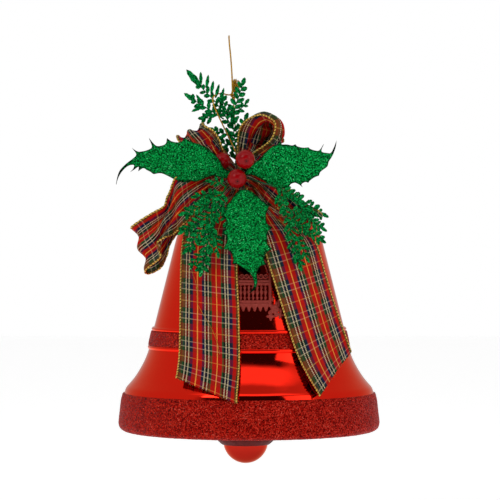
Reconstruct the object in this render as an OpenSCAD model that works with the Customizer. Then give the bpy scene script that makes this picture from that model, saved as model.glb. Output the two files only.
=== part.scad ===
// Christmas bell ornament: a red bell with a swinging clapper, hung on a gold cord and dressed
// with a ribbon bow, holly leaves, berries and sprigs. Millimetres, Z up, origin at the top of
// the hanging loop where a hook bears.

/* [Node to show] */
// Which piece is drawn

/* [Bell] */
// Bell axis, X from the hanging loop
bell_x = 12; // [0:0.5:20]
// Half width of the dome's ellipse
dome_a = 44.9; // [40:0.1:50]
// Half height of the dome's ellipse
dome_b = 40.9; // [35:0.1:45]
// Height of the dome ellipse's centre
dome_z = -130.9; // [-140:0.1:-120]
// Shell wall thickness
wall = 1.6; // [1:0.1:3]
// Radius of the hole through the crown
crown_hole_r = 3.2; // [2:0.1:5]

/* [Clapper] */
// Clapper axis, X
clapper_x = 10; // [8:0.1:14]
// Clapper ball radius
ball_r = 13.5; // [12:0.5:18]
// Clapper ball centre height
ball_z = -242.3; // [-245:0.1:-235]
// Ring wire radius of the hook, link and eye
ring_w = 0.6; // [0.4:0.1:1]
// Ring radius to the wire's centre
ring_r = 3; // [2:0.1:4]
// Gap between two linked rings
ring_gap = 0.1; // [0.05:0.05:0.5]

/* [Cord] */
// Cord diameter
cord_d = 0.9; // [0.6:0.1:1.5]
// Knot radius
knot_r = 2.0; // [1.5:0.1:3]

/* [Ribbon] */
// Ribbon thickness as modelled
ribbon_t = 0.6; // [0.4:0.1:1]
// Gap between a tail and the bell
tail_gap = 0.9; // [0.4:0.1:2]
// Turn of the left tail about the bell axis
left_turn = -20; // [-40:1:0]
// Turn of the right tail about the bell axis
right_turn = 40; // [20:1:60]

/* [Greenery] */
// Leaf plate thickness
leaf_t = 0.6; // [0.4:0.1:1]
// Sprig plate thickness
sprig_t = 0.8; // [0.5:0.1:1.5]
// Berry radius
berry_r = 5.6; // [4:0.1:7]
// Leaf plane, Y
leaf_y = -36; // [-40:0.5:-30]

/* [Relief] */
// Relief height above the bell
relief_t = 0.8; // [0.5:0.1:2]

/* [Hidden] */
$fa = 4;
$fs = 0.6;

red = [0.7, 0.1, 0.06];
dark_red = [0.45, 0.05, 0.05];
rose = [0.55, 0.16, 0.16];
gold = [0.85, 0.62, 0.2];
green = [0.02, 0.45, 0.2];
plaid = [0.5, 0.12, 0.12];
berry_red = [0.6, 0.03, 0.06];
black = [0.08, 0.05, 0.05];

function dome(a, t) = [(dome_a - t) * cos(a), dome_z + (dome_b - t) * sin(a)];

// Bell outline from the crown down, as [radius, height]
dome_out = [for (a = [83:-7:13]) dome(a, 0)];
cone_out = [[56.7, -173.4], [60.2, -187.8]];
// Radius of the cone between the dome and the waist, at height z
cone_top = dome(13, 0);
cone_slope = (cone_out[0][0] - cone_top[0]) / (cone_top[1] - cone_out[0][1]);
function cone_r(z) = cone_top[0] + cone_slope * (cone_top[1] - z);
flare_out = [
  [62.1, -191.4], [63.6, -195], [65.4, -198.6], [67.4, -202.2], [69.4, -205.2],
  [71.6, -207.8], [73.6, -210.2], [74.6, -213]
];
rim_out = [
  [75.8, -218.4], [76.4, -223.8], [77, -229.2], [77.1, -231.3], [76.5, -233.2], [75.2, -234.4],
  [73.5, -234.9]
];
rim_skin = [
  [75.6, -213], [76.8, -218.4], [77.4, -223.8], [78, -229.2], [78.1, -231.5], [77.4, -233.9],
  [75.6, -235.4], [73.5, -235.9]
];
inside = [
  [72, -234.9], [72, -233.4], [73.5, -233.3], [75, -232.2], [75.4, -229.3], [74.8, -224],
  [74.2, -218.8], [73, -213.5], [72.3, -211.3], [70.4, -208.9], [68.2, -206.3], [66.1, -203],
  [63.9, -199.4], [62.1, -195.7], [60.6, -192], [58.7, -188.4], [55.2, -174]
];
dome_in = [for (a = [13:7:83]) dome(a, wall)];

// Outline that the tails follow down the bell, as [distance from the bell axis, height]
drape = [
  [24, -96], [31, -100.5], [36, -106.5], [40.2, -113.5], [43.8, -121.8], [50.8, -150],
  [56.7, -173.4], [61.4, -188.4], [66.2, -198], [75.9, -212.2], [77.4, -219]
];

// Cord route, from the knot down through the crown eye, up around the sprig stem, through the
// knot, up over the top and back down into the knot
route = [
  [3.4, 0.9, -36.4], [2.9, 0.9, -40], [3.1, 0.8, -46], [3.5, 0.7, -52], [4.6, 0.9, -58],
  [7, 1.3, -65], [10, 1.8, -71], [11.6, 1.8, -73.4], [11.8, 1.27, -74.7], [11.8, 0, -75.2],
  [11.8, -1.27, -74.7], [11, -2.4, -73.6], [9.2, -4.8, -73.9], [7.2, -9, -73.4],
  [6.4, -12.2, -72.4], [4.6, -13, -70.6], [2.6, -12.2, -66.6], [0.8, -11.4, -62.6],
  [-3.2, -10.6, -54.4], [-7, -10.2, -46.4], [-9.2, -10, -41], [-9.4, -9.4, -37.4],
  [-7.4, -8, -35.2], [-4, -5, -34.6], [-1, -2.2, -35], [1, -1, -34.8], [2, -1.4, -32.6],
  [1.9, -1.8, -28], [1.6, -2, -20], [1, -2, -12], [0.4, -2, -6], [0.1, -1.9, -2.6], [0, -1.3, -0.3], [0, 0, 0.45],
  [0, 1.3, -0.3], [0.1, 1.9, -2.6], [0.4, 2, -6], [1, 2, -12], [1.6, 2, -20], [2.1, 1.8, -28],
  [2.2, 1.3, -34.4]
];

hook_z = -98.5;
pivot_high = hook_z - ring_r;
link_z = pivot_high + 2 * ring_w + ring_gap - ring_r;
pivot_low = link_z - ring_r;
eye_z = pivot_low + 2 * ring_w + ring_gap - ring_r;

// Height on the ball's surface over its centre, at radius r, with a hair's clearance
function on_ball(r) = sqrt(ball_r * ball_r - r * r) + 0.02;

function unit(v) = v / norm(v);
function blend4(a, b, c, d, t) =
  0.5 * (2 * b + (c - a) * t + (2 * a - 5 * b + 4 * c - d) * t * t
  + (3 * b - a - 3 * c + d) * t * t * t);
function near(p, i) = p[max(0, min(len(p) - 1, i))];
function smooth_path(p, n) = [
  for (i = [0:len(p) - 2]) for (k = [0:n - 1])
    blend4(near(p, i - 1), p[i], p[i + 1], near(p, i + 2), k / n),
  p[len(p) - 1]
];

module ring(major, minor) {
  rotate([90, 0, 0])
    rotate_extrude()
      translate([major, 0])
        circle(r = minor);
}

module rod(a, b, r) {
  d = b - a;
  translate(a)
    rotate([0, acos(d[2] / norm(d)), atan2(d[1], d[0])])
      cylinder(r = r, h = norm(d));
}

module tube(path, r, sides) {
  n = len(path);
  ref = [0.78, 0.5, 0.38];
  pts = [
    for (i = [0:n - 1])
      let (t = unit(near(path, i + 1) - near(path, i - 1)), u = unit(cross(t, ref)), v = cross(t, u))
        for (k = [0:sides - 1]) path[i] + r * (cos(360 * k / sides) * u + sin(360 * k / sides) * v)
  ];
  walls = [
    for (i = [0:n - 2]) for (k = [0:sides - 1])
      [
        i * sides + k, (i + 1) * sides + k,
        (i + 1) * sides + (k + 1) % sides, i * sides + (k + 1) % sides
      ]
  ];
  first = [for (k = [0:sides - 1]) k];
  last = [for (k = [sides - 1:-1:0]) (n - 1) * sides + k];
  polyhedron(points = pts, faces = concat(walls, [first], [last]), convexity = 10);
}

// Front view outline in X and Z, made solid from y towards the viewer
module front(points, y, depth) {
  translate([0, y, 0])
    rotate([90, 0, 0])
      linear_extrude(height = depth)
        polygon(points);
}

module bell_shell() {
  color(red)
    translate([bell_x, 0, 0])
      rotate_extrude()
        polygon(concat(
          [[crown_hole_r, -90.12]], dome_out, cone_out, flare_out, rim_out, inside, dome_in,
          [[crown_hole_r, -91.8]]
        ));
}

module waist_band() {
  color(dark_red)
    translate([bell_x, 0, 0])
      rotate_extrude()
        polygon([
          [56.943, -174.4], [57.5, -174.3], [58, -174.8], [58.05, -175.6], [57.75, -176.2],
          [59.85, -184.8], [60.45, -185.2], [60.65, -186], [60.3, -186.8], [59.957, -186.8]
        ]);
}

module rim_band() {
  color(dark_red)
    translate([bell_x, 0, 0])
      rotate_extrude()
        polygon(concat(rim_skin, [
          [73.5, -234.9], [75.2, -234.4], [76.5, -233.2], [77.1, -231.3], [77, -229.2], [76.4, -223.8],
          [75.8, -218.4], [74.6, -213]
        ]));
}

module scallop(x, z) {
  translate([x, z])
    circle(r = 1.85, $fn = 16);
}

module spindle(x) {
  translate([x - 0.45, -158.2])
    square([0.9, 8.6]);
  translate([x - 0.85, -155.2])
    square([1.7, 1.6]);
  translate([x - 0.75, -151.2])
    square([1.5, 1]);
}

module relief_outline() {
  // rails
  translate([-13.2, -150.3])
    square([26.4, 3]);
  translate([-14, -161.4])
    square([28, 3.3]);
  // side posts
  translate([-13.2, -158.5])
    square([1.4, 18]);
  translate([11.8, -158.5])
    square([1.4, 18]);
  for (i = [-4:4])
    spindle(i * 2.55);
  for (i = [-4:4])
    scallop(i * 3.4, -161.6);
  // frieze of scrolls over the rail
  for (i = [-4:3])
    translate([i * 2.8 + 1.4, -145.9])
      difference() {
        circle(r = 1.7, $fn = 16);
        circle(r = 0.75, $fn = 12);
      }
  // arch
  difference() {
    translate([0, -142])
      circle(r = 13.2, $fn = 48);
    translate([0, -142])
      circle(r = 11.4, $fn = 48);
    translate([-20, -162])
      square([40, 20]);
  }
  // leafy brackets
  for (s = [-1, 1])
    polygon([
      [s * 12.5, -156], [s * 14.5, -154.5], [s * 17.5, -157], [s * 20, -159], [s * 21, -162],
      [s * 20.5, -165], [s * 18.5, -167.5], [s * 16.5, -166], [s * 14.5, -167], [s * 13, -164],
      [s * 10.5, -162], [s * 10.5, -159]
    ]);
}

module front_relief() {
  color(rose)
    translate([bell_x, 0, 0])
      intersection() {
        rotate_extrude()
          polygon([
            [cone_r(-122.3), -122.3], [cone_r(-169.4), -169.4], [cone_r(-169.4) + relief_t, -169.4],
            [cone_r(-122.3) + relief_t, -122.3]
          ]);
        rotate([90, 0, 0])
          linear_extrude(height = 80)
            relief_outline();
      }
}

module crown_cap() {
  color(gold)
    translate([bell_x, 0, 0])
      rotate_extrude()
        polygon([
          [0, -94.5], [crown_hole_r, -94.5], [crown_hole_r, -90.12], dome_out[0], [8, -90.74], [8, -89],
          [6.5, -87.8], [4.5, -86.8], [4, -84.4], [4.4, -82.6], [3.6, -81], [1.5, -80.6], [0, -80.6]
        ]);
}

module crown_eye() {
  color(gold)
    translate([bell_x, 0, 0]) {
      translate([0, 0, -76.6])
        ring(3.2, 0.7);
      translate([0, 0, -80.6])
        cylinder(r = 0.8, h = 1);
    }
}

module clapper_hook() {
  color(gold)
    translate([clapper_x, 0, 0]) {
      translate([0, 0, hook_z])
        ring(ring_r, ring_w);
      translate([0, 0, hook_z + ring_r])
        cylinder(r = 0.7, h = -94.5 - hook_z - ring_r);
    }
}

module clapper_link() {
  color(gold)
    translate([clapper_x, 0, link_z])
      rotate([0, 0, 90])
        ring(ring_r, ring_w);
}

module clapper_rod() {
  color(gold)
    translate([clapper_x, 0, 0]) {
      translate([0, 0, eye_z])
        ring(ring_r, ring_w);
      translate([0, 0, ball_z + ball_r + 3.2])
        cylinder(r = 0.7, h = eye_z - ring_r - ball_z - ball_r - 3.2);
    }
}

module clapper_cap() {
  color(gold)
    translate([clapper_x, 0, ball_z])
      rotate_extrude()
        polygon([
          [0, on_ball(0)], [1, on_ball(1)], [2.5, on_ball(2.5)], [4, on_ball(4)], [4.2, ball_r - 0.1],
          [4.2, ball_r + 1.6], [3.6, ball_r + 2.4], [1.4, ball_r + 3.2], [0, ball_r + 3.2]
        ]);
}

module clapper_collar() {
  color(black)
    translate([clapper_x, 0, ball_z])
      difference() {
        rotate_extrude()
          polygon([[11.5, 4.6], [17, 4.2], [17.8, 3], [17.8, 0.6], [13.6, -2.4], [12, -2.4]]);
        sphere(r = ball_r);
      }
}

module clapper_ball() {
  color(red)
    translate([clapper_x, 0, ball_z])
      sphere(r = ball_r);
}

module hanging_cord() {
  color(gold)
    tube(smooth_path(route, 2), cord_d / 2, 8);
}

module cord_knot() {
  color(gold)
    translate([2.7, 0, -35.6])
      sphere(r = knot_r);
}

module cord_tassel() {
  color(gold) {
    rod([3.4, 0, -34.4], [5.2, -0.3, -27.4], 0.45);
    rod([3.2, 0, -34.4], [3.7, 0.2, -26.6], 0.45);
  }
}

module bow_loop_upper_left() {
  color(plaid)
    intersection() {
      linear_extrude(height = 200, center = true)
        difference() {
          polygon([[-3, -17], [-12, -13], [-24, -14], [-29, -18], [-24, -24], [-12, -26], [-3, -21]]);
          polygon([
            [-2, -17.6], [-12, -13.6], [-23.8, -14.6], [-28.1, -18], [-23.8, -23.4], [-12, -25.4],
            [-2, -20.4]
          ]);
        }
      front([
        [-3, -79], [-3.5, -68], [-8, -59], [-15.6, -54], [-22, -56], [-29, -61], [-32, -71],
        [-24, -78]
      ], 0, 40);
    }
}

module bow_loop_lower_left() {
  color(plaid)
    intersection() {
      linear_extrude(height = 400, center = true)
        difference() {
          polygon([
            [-3.2, -19], [-12, -26], [-40, -27], [-54, -28], [-58, -31], [-54, -34], [-40, -36],
            [-12, -35], [-3.2, -23]
          ]);
          polygon([
            [-2, -19.3], [-12, -26.6], [-40, -27.6], [-53.7, -28.6], [-57.1, -31], [-53.7, -33.4],
            [-40, -35.4], [-12, -34.4], [-2, -22.2]
          ]);
        }
      front([
        [-3.2, -81.5], [-9, -85.4], [-31, -86], [-35, -97], [-47, -107], [-58, -114],
        [-52, -128], [-46, -141], [-39, -132], [-28, -113], [-20, -97], [-3.2, -90]
      ], 0, 40);
    }
}

module bow_loop_upper_right() {
  color(plaid)
    difference() {
      front([
        [8, -76], [8, -62], [9, -54], [13, -49], [19, -47], [25, -49], [30, -55], [32, -59], [28, -66],
        [20, -73]
      ], -9, 21);
      front([
        [8.6, -75.4], [8.6, -62], [9.6, -54.2], [13.2, -49.6], [19, -47.6], [24.7, -49.6],
        [29.5, -55.3], [31.3, -59], [27.6, -65.6], [19.8, -72.4]
      ], -8, 23);
    }
}

module bow_loop_lower_right() {
  color(plaid)
    intersection() {
      linear_extrude(height = 400, center = true)
        difference() {
          polygon([
            [13.2, -18], [22, -22.5], [40, -22.5], [48, -23.2], [51.5, -25.8], [48, -28.4], [40, -30.2],
            [22, -30.5], [13.2, -22]
          ]);
          polygon([
            [12, -18.2], [22, -23.1], [40, -23.1], [47.7, -23.8], [50.6, -25.8], [47.7, -27.8],
            [40, -29.6], [22, -29.9], [12, -21]
          ]);
        }
      front([
        [13.2, -79], [20, -80], [36, -89], [40, -99], [49, -103], [53.5, -109], [46, -112],
        [38, -104], [26, -95], [13.2, -89]
      ], 0, 40);
    }
}

module bow_knot() {
  color(plaid)
    translate([-3, -16, -83.5])
      rotate([0, 90, 0])
        cylinder(r = 7, h = 16);
}

module bow_tie_wire() {
  color(gold) {
    translate([bell_x, 0, -84.9])
      rotate([90, 0, 0])
        ring(4.7, 0.4);
    rod([bell_x - 2.5, -4, -84.9], [7, -9.3, -84.2], 0.4);
  }
}

// A tail: the bell's outline pushed forward by the gap, swept sideways and cut to the ribbon's
// outline, given as [sideways, height]
module tail(turn, outline) {
  back = [for (p = drape) [-p[0] - tail_gap, p[1]]];
  face = [for (i = [len(drape) - 1:-1:0]) [-drape[i][0] - tail_gap - ribbon_t, drape[i][1] + 0.2]];
  translate([bell_x, 0, 0])
    rotate([0, 0, turn])
      intersection() {
        rotate([90, 0, 90])
          linear_extrude(height = 80, center = true)
            polygon(concat(back, face));
        rotate([90, 0, 0])
          linear_extrude(height = 100)
            polygon(outline);
      }
}

module tail_left() {
  color(plaid)
    tail(left_turn, [
      [9, -122], [10.3, -138], [15, -174], [21.5, -215], [-18.5, -202], [-22, -174], [-26.5, -124],
      [-25, -117], [-8, -104], [0, -97], [7, -97]
    ]);
}

module tail_right() {
  color(plaid)
    tail(right_turn, [
      [-25, -133], [-17, -176], [-12.4, -211.5], [27, -188.5], [21, -158.7], [13, -122],
      [4, -116], [-8, -104], [-14, -98], [-20, -98], [-25, -108]
    ]);
}

module floral_pick() {
  color(green)
    translate([6, -23, -84])
      rotate([90, 0, 0])
        cylinder(r = 2, h = 13);
}

module floral_wires() {
  color(green) {
    rod([6, -33, -83.5], [5, -38.4, -85.9], 0.4);
    rod([6.5, -33, -83], [9, -38.6, -77.3], 0.4);
    rod([5, -28, -83], [-2.8, -27, -79], 0.4);
    rod([7.2, -34, -85], [9.6, -45.6, -93.6], 0.5);
    rod([5, -30, -85], [-1.6, -43.9, -91.6], 0.5);
    rod([7, -30, -84.6], [25.6, -48, -91], 0.5);
    rod([5, -15.6, -77.2], [4.5, -8.2, -67.6], 0.6);
  }
}

module leaf_plate(points) {
  rotate([90, 0, 0])
    linear_extrude(height = leaf_t)
      polygon(points);
}

module holly_leaf_left() {
  color(green)
    translate([4.5, leaf_y, -83.5])
      rotate([0, 0, -6])
        leaf_plate([
          [0, 0], [-5, 1.4], [-7.5, 2], [-11, 9.5], [-16, 14.5], [-22, 18], [-30, 21], [-33.5, 23.6],
          [-36, 21], [-41, 21.3], [-44.5, 23], [-46, 19.5], [-50, 19.2], [-54, 22.2], [-54, 18],
          [-59, 16.3], [-64, 17.2], [-61.5, 14], [-67, 9.6], [-71, 4], [-73.5, -1], [-70.5, 2.5],
          [-64.5, 8], [-62, 6], [-64, 4], [-59.5, 7], [-57, 4.6], [-53, 5], [-50, 3], [-44, 3.2],
          [-38, 0], [-32, -1.4], [-24, -1.2], [-17, 0.4], [-11, 1], [-5, -0.8]
        ]);
}

module holly_leaf_right() {
  color(green)
    translate([7.5, leaf_y, -84])
      rotate([0, 0, 6])
        leaf_plate([
          [0, 0], [4, 0.3], [9, 6], [14, 11], [18.5, 16], [23.5, 18.6], [26, 21.6], [27.5, 19.2],
          [33, 18.4], [36, 19.2], [38, 17.6], [43.5, 17.6], [46, 15.8], [50, 16], [53.5, 19.6],
          [53, 15], [58, 14.4], [61.5, 21.6], [61, 16], [57, 8.5], [55, 5], [51.5, 3], [50.5, 0.5],
          [46, -1.5], [44.5, -3.5], [40.5, -5], [40.5, -6.8], [37, -4.6], [33, -5.5], [31.5, -8.4],
          [27.5, -7], [24, -7.2], [19, -5], [14, -2], [9, -0.6], [4, -0.8]
        ]);
}

module holly_leaf_lower() {
  color(green)
    translate([0, -46, -94])
      rotate([-13.6, 0, 0])
        leaf_plate([
          [9.7, 1], [3, -3], [-1, -10], [-3.5, -14], [-1, -19], [-3, -25], [-1, -30],
          [-2.5, -34.5], [2, -37.5], [3, -42.5], [8, -45], [13, -50], [15, -55.5], [12, -60.5],
          [16, -57], [17.5, -52.5], [17, -48], [21, -43], [22, -37], [25, -33.5], [22.5, -27],
          [25.3, -21], [22, -15], [23, -9], [17, -3]
        ]);
}

module berry_upper_left() {
  color(berry_red)
    translate([-3.8, -29.5, -75.8])
      sphere(r = berry_r - 0.6);
}

module berry_upper_right() {
  color(berry_red)
    translate([9.8, -43, -75.4])
      sphere(r = berry_r);
}

module berry_lower() {
  color(berry_red)
    translate([5, -43, -86.6])
      sphere(r = berry_r);
}

module leaflet(size) {
  polygon([
    [0, -0.3], [size * 0.35, -size * 0.24], [size * 0.75, -size * 0.22], [size, 0],
    [size * 0.75, size * 0.22], [size * 0.35, size * 0.24], [0, 0.3]
  ]);
}

// A feathery twig from a to b with leaflets on both sides
module twig(a, b, size) {
  d = b - a;
  translate(a)
    rotate(atan2(d[1], d[0])) {
      translate([0, -0.4])
        square([norm(d), 0.8]);
      for (s = [size * 0.8:size * 0.62:norm(d)])
        for (m = [-1, 1])
          translate([s, 0])
            rotate(m * 48)
              leaflet(size);
      translate([norm(d) - 0.2, 0])
        leaflet(size);
    }
}

module sprig_upper() {
  color(green)
    translate([0, -7.8, 0])
      rotate([90, 0, 0])
        linear_extrude(height = sprig_t) {
          twig([4.5, -68], [2.5, -52], 4);
          twig([2.5, -54], [7.6, -28], 4);
          twig([2.5, -56], [-10, -40], 4);
          twig([-10, -40], [-23, -23], 4);
          twig([-10, -41], [-24, -36], 3.6);
          twig([-6, -46], [-14, -52], 3.6);
        }
}

module sprig_lower_left() {
  color(green)
    translate([0, -44, -90])
      rotate([-9.5, 0, 0])
        rotate([90, 0, 0])
          linear_extrude(height = sprig_t) {
            twig([-1.5, -1.5], [-8, -20], 4);
            twig([-8, -20], [-15, -50], 4.2);
            twig([-4, -7], [-25, -17], 4.2);
            twig([-8.5, -20], [-23.5, -38], 4.2);
          }
}

module sprig_lower_right() {
  color(green)
    translate([bell_x, 0, 0])
      rotate([0, 0, right_turn])
        translate([0, -45.5, -90])
          rotate([-10.4, 0, 0])
            rotate([90, 0, 0])
              linear_extrude(height = sprig_t) {
                twig([-20.5, -1], [-2, -9], 4);
                twig([-2, -9], [14, -17], 4.2);
                twig([-18, -2.5], [-12, -20], 4.2);
                twig([-12, -18], [10, -32], 4.2);
                twig([-12, -20], [-8, -47], 4.2);
              }
}

bell_shell();
waist_band();
rim_band();
front_relief();
crown_cap();
crown_eye();
clapper_hook();
clapper_link();
clapper_rod();
clapper_cap();
clapper_collar();
clapper_ball();
hanging_cord();
cord_knot();
cord_tassel();
bow_loop_upper_left();
bow_loop_lower_left();
bow_loop_upper_right();
bow_loop_lower_right();
bow_knot();
bow_tie_wire();
tail_left();
tail_right();
floral_pick();
floral_wires();
holly_leaf_left();
holly_leaf_right();
holly_leaf_lower();
berry_upper_left();
berry_upper_right();
berry_lower();
sprig_upper();
sprig_lower_left();
sprig_lower_right();
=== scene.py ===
import math
import random

import bmesh
import bpy
import numpy as np
from mathutils import Matrix, Euler, Vector, geometry, noise


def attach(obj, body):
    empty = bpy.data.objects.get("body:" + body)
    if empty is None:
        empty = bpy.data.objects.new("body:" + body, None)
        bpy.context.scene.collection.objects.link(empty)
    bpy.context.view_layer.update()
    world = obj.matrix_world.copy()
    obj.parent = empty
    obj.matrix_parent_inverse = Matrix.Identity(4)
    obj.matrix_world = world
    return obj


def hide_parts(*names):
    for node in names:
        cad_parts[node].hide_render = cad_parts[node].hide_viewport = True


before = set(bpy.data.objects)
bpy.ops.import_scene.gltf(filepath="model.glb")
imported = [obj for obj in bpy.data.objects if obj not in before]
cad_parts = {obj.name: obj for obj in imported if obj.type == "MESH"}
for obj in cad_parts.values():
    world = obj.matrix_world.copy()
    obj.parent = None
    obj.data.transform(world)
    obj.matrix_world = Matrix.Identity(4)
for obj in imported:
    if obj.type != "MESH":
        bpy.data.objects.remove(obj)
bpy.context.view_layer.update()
MM = 0.001
BELL_X = 12.0


# ---------------------------------------------------------------- camera
cam_data = bpy.data.cameras.new("camera")
cam_data.lens = 156.0
cam_data.sensor_width = 36.0
cam_data.clip_start = 0.05
cam = bpy.data.objects.new("camera", cam_data)
cam.location = (0.0126, -1.3, -0.128)
cam.rotation_euler = (math.radians(90), 0, 0)
bpy.context.scene.collection.objects.link(cam)
bpy.context.scene.camera = cam


# ---------------------------------------------------------------- helpers
def lin(r, g, b):
    """sRGB 0 to 255 as a linear colour."""
    out = []
    for c in (r, g, b):
        c /= 255
        out.append(c / 12.92 if c <= 0.04045 else ((c + 0.055) / 1.055) ** 2.4)
    return (*out, 1.0)


def shade(colour, k):
    """A colour made k times as light."""
    return tuple(c * k for c in colour[:3]) + (1,)


def catmull(points, n, closed=False):
    """Smooth curve through points, n steps a span."""
    p = [np.array(q, float) for q in points]
    m = len(p)
    out = []
    spans = m if closed else m - 1
    for i in range(spans):
        if closed:
            a, b, c, d = p[i - 1], p[i], p[(i + 1) % m], p[(i + 2) % m]
        else:
            a, b, c, d = p[max(i - 1, 0)], p[i], p[i + 1], p[min(i + 2, m - 1)]
        for k in range(n):
            t = k / n
            out.append(0.5 * (2 * b + (c - a) * t + (2 * a - 5 * b + 4 * c - d) * t * t
                              + (3 * b - a - 3 * c + d) * t ** 3))
    if not closed:
        out.append(p[-1])
    return np.array(out)


def distances(p):
    """Distance along a polyline to each of its points."""
    return np.concatenate([[0], np.cumsum(np.linalg.norm(np.diff(p, axis=0), axis=1))])


def resample(points, step):
    """Points at even steps along a polyline."""
    p = np.array(points, float)
    s = distances(p)
    n = max(2, int(round(s[-1] / step)) + 1)
    t = np.linspace(0, s[-1], n)
    return np.stack([np.interp(t, s, p[:, k]) for k in range(p.shape[1])], axis=1)


def make(name, verts, faces, mat, uv=None, smooth=True, normals=False):
    """A mesh object from millimetre vertices. uv is one (u, v) per vertex, in mm of cloth."""
    me = bpy.data.meshes.new(name)
    me.from_pydata((np.array(verts, float) * MM).tolist(), [], [list(map(int, f)) for f in faces])
    if uv is not None:
        layer = me.uv_layers.new(name="cloth")
        for loop in me.loops:
            layer.data[loop.index].uv = uv[loop.vertex_index]
    if smooth:
        me.polygons.foreach_set("use_smooth", [True] * len(me.polygons))
    if normals:
        bm = bmesh.new()
        bm.from_mesh(me)
        bmesh.ops.recalc_face_normals(bm, faces=bm.faces)
        bm.to_mesh(me)
        bm.free()
    me.materials.append(mat)
    o = bpy.data.objects.new(name, me)
    bpy.context.scene.collection.objects.link(o)
    return o


def grid_faces(rows, cols, wrap=False, base=0, flip=False):
    out = []
    last = cols if wrap else cols - 1
    for i in range(rows - 1):
        for j in range(last):
            a, b = base + i * cols + j, base + i * cols + (j + 1) % cols
            c, d = base + (i + 1) * cols + (j + 1) % cols, base + (i + 1) * cols + j
            out.append((a, d, c, b) if flip else (a, b, c, d))
    return out


def lathe(name, profile, mat, centre=(BELL_X, 0.0, 0.0), seg=160, closed=False, shift=None):
    """Turns [radius, height] points about a vertical axis. shift(r, z, angle) may move a point."""
    verts, faces, ids = [], [], []
    for r, z in profile:
        if r < 1e-6:
            ids.append([len(verts)] * seg)
            verts.append((centre[0], centre[1], centre[2] + z))
        else:
            row = []
            for k in range(seg):
                a = 2 * math.pi * k / seg
                rr, zz = (r, z) if shift is None else shift(r, z, a)
                row.append(len(verts))
                verts.append((centre[0] + rr * math.cos(a), centre[1] + rr * math.sin(a), centre[2] + zz))
            ids.append(row)
    n = len(ids)
    for i in range(n if closed else n - 1):
        p, q = ids[i], ids[(i + 1) % n]
        for k in range(seg):
            m = (k + 1) % seg
            f = [p[k], p[m], q[m], q[k]]
            f = [v for j, v in enumerate(f) if v not in f[:j]]
            if len(f) > 2:
                faces.append(f)
    return make(name, verts, faces, mat, normals=True)


def frames(points):
    """Tangent, side and up at each point of a polyline, without sudden twist."""
    p = np.array(points, float)
    t = np.gradient(p, axis=0)
    t /= np.linalg.norm(t, axis=1)[:, None]
    u = np.cross(t[0], [0.31, 0.2, 0.93])
    u /= np.linalg.norm(u)
    us = []
    for k in range(len(p)):
        u = u - t[k] * np.dot(u, t[k])
        u /= np.linalg.norm(u)
        us.append(u.copy())
    us = np.array(us)
    return t, us, np.cross(t, us)


def tube_mesh(points, radius, sides=8, lobes=0, depth=0.0, pitch=2.0, taper=None):
    """Vertices, faces and uvs of a tube. lobes and pitch twist strands round it."""
    p = np.array(points, float)
    t, u, w = frames(p)
    s = distances(p)
    verts, uvs = [], []
    for k in range(len(p)):
        for j in range(sides):
            a = 2 * math.pi * j / sides
            turn = 2 * math.pi * s[k] / pitch
            r = radius if taper is None else radius * taper[k]
            if lobes:
                r *= 1 - depth + depth * math.cos(lobes * a - turn)
            verts.append(p[k] + r * (math.cos(a) * u[k] + math.sin(a) * w[k]))
            uvs.append((j / sides, s[k]))
    faces = grid_faces(len(p), sides, wrap=True)
    n = len(verts)
    verts += [p[0], p[-1]]
    uvs += [(0.5, 0), (0.5, s[-1])]
    for j in range(sides):
        m = (j + 1) % sides
        faces.append((n, m, j))
        faces.append((n + 1, n - sides + j, n - sides + m))
    return verts, faces, uvs


def join_parts(parts):
    verts, faces, uvs = [], [], []
    for v, f, u in parts:
        base = len(verts)
        verts.extend(v)
        faces.extend([[i + base for i in q] for q in f])
        uvs.extend(u)
    return verts, faces, uvs


def dress(o, node, body="bell"):
    """Hides the CAD node a piece stands in for and hangs the piece on the body it rides on."""
    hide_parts(node)
    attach(o, body)
    return o


def solid(o, thick_mm):
    m = o.modifiers.new("thickness", "SOLIDIFY")
    m.thickness = thick_mm * MM
    m.offset = 0
    return o


# ---------------------------------------------------------------- materials
class Nodes:
    """Short ways to add nodes to a tree."""
    def __init__(self, tree):
        self.tree = tree
        self.tree.nodes.clear()

    def put(self, socket, value):
        if isinstance(value, bpy.types.NodeSocket):
            self.tree.links.new(value, socket)
        else:
            socket.default_value = value

    def node(self, kind, inputs, **settings):
        n = self.tree.nodes.new("ShaderNode" + kind)
        for key, value in settings.items():
            setattr(n, key, value)
        for socket, value in inputs.items():
            self.put(n.inputs[socket], value)
        return n

    def math(self, op, a, b=0.0, clamp=False):
        return self.node("Math", {0: a, 1: b}, operation=op, use_clamp=clamp).outputs[0]

    def mul(self, a, b):
        return self.math("MULTIPLY", a, b)

    def add(self, a, b, clamp=False):
        return self.math("ADD", a, b, clamp=clamp)

    def sub(self, a, b):
        return self.math("SUBTRACT", a, b)

    def split(self, vector):
        return self.node("SeparateXYZ", {0: vector}).outputs


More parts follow.
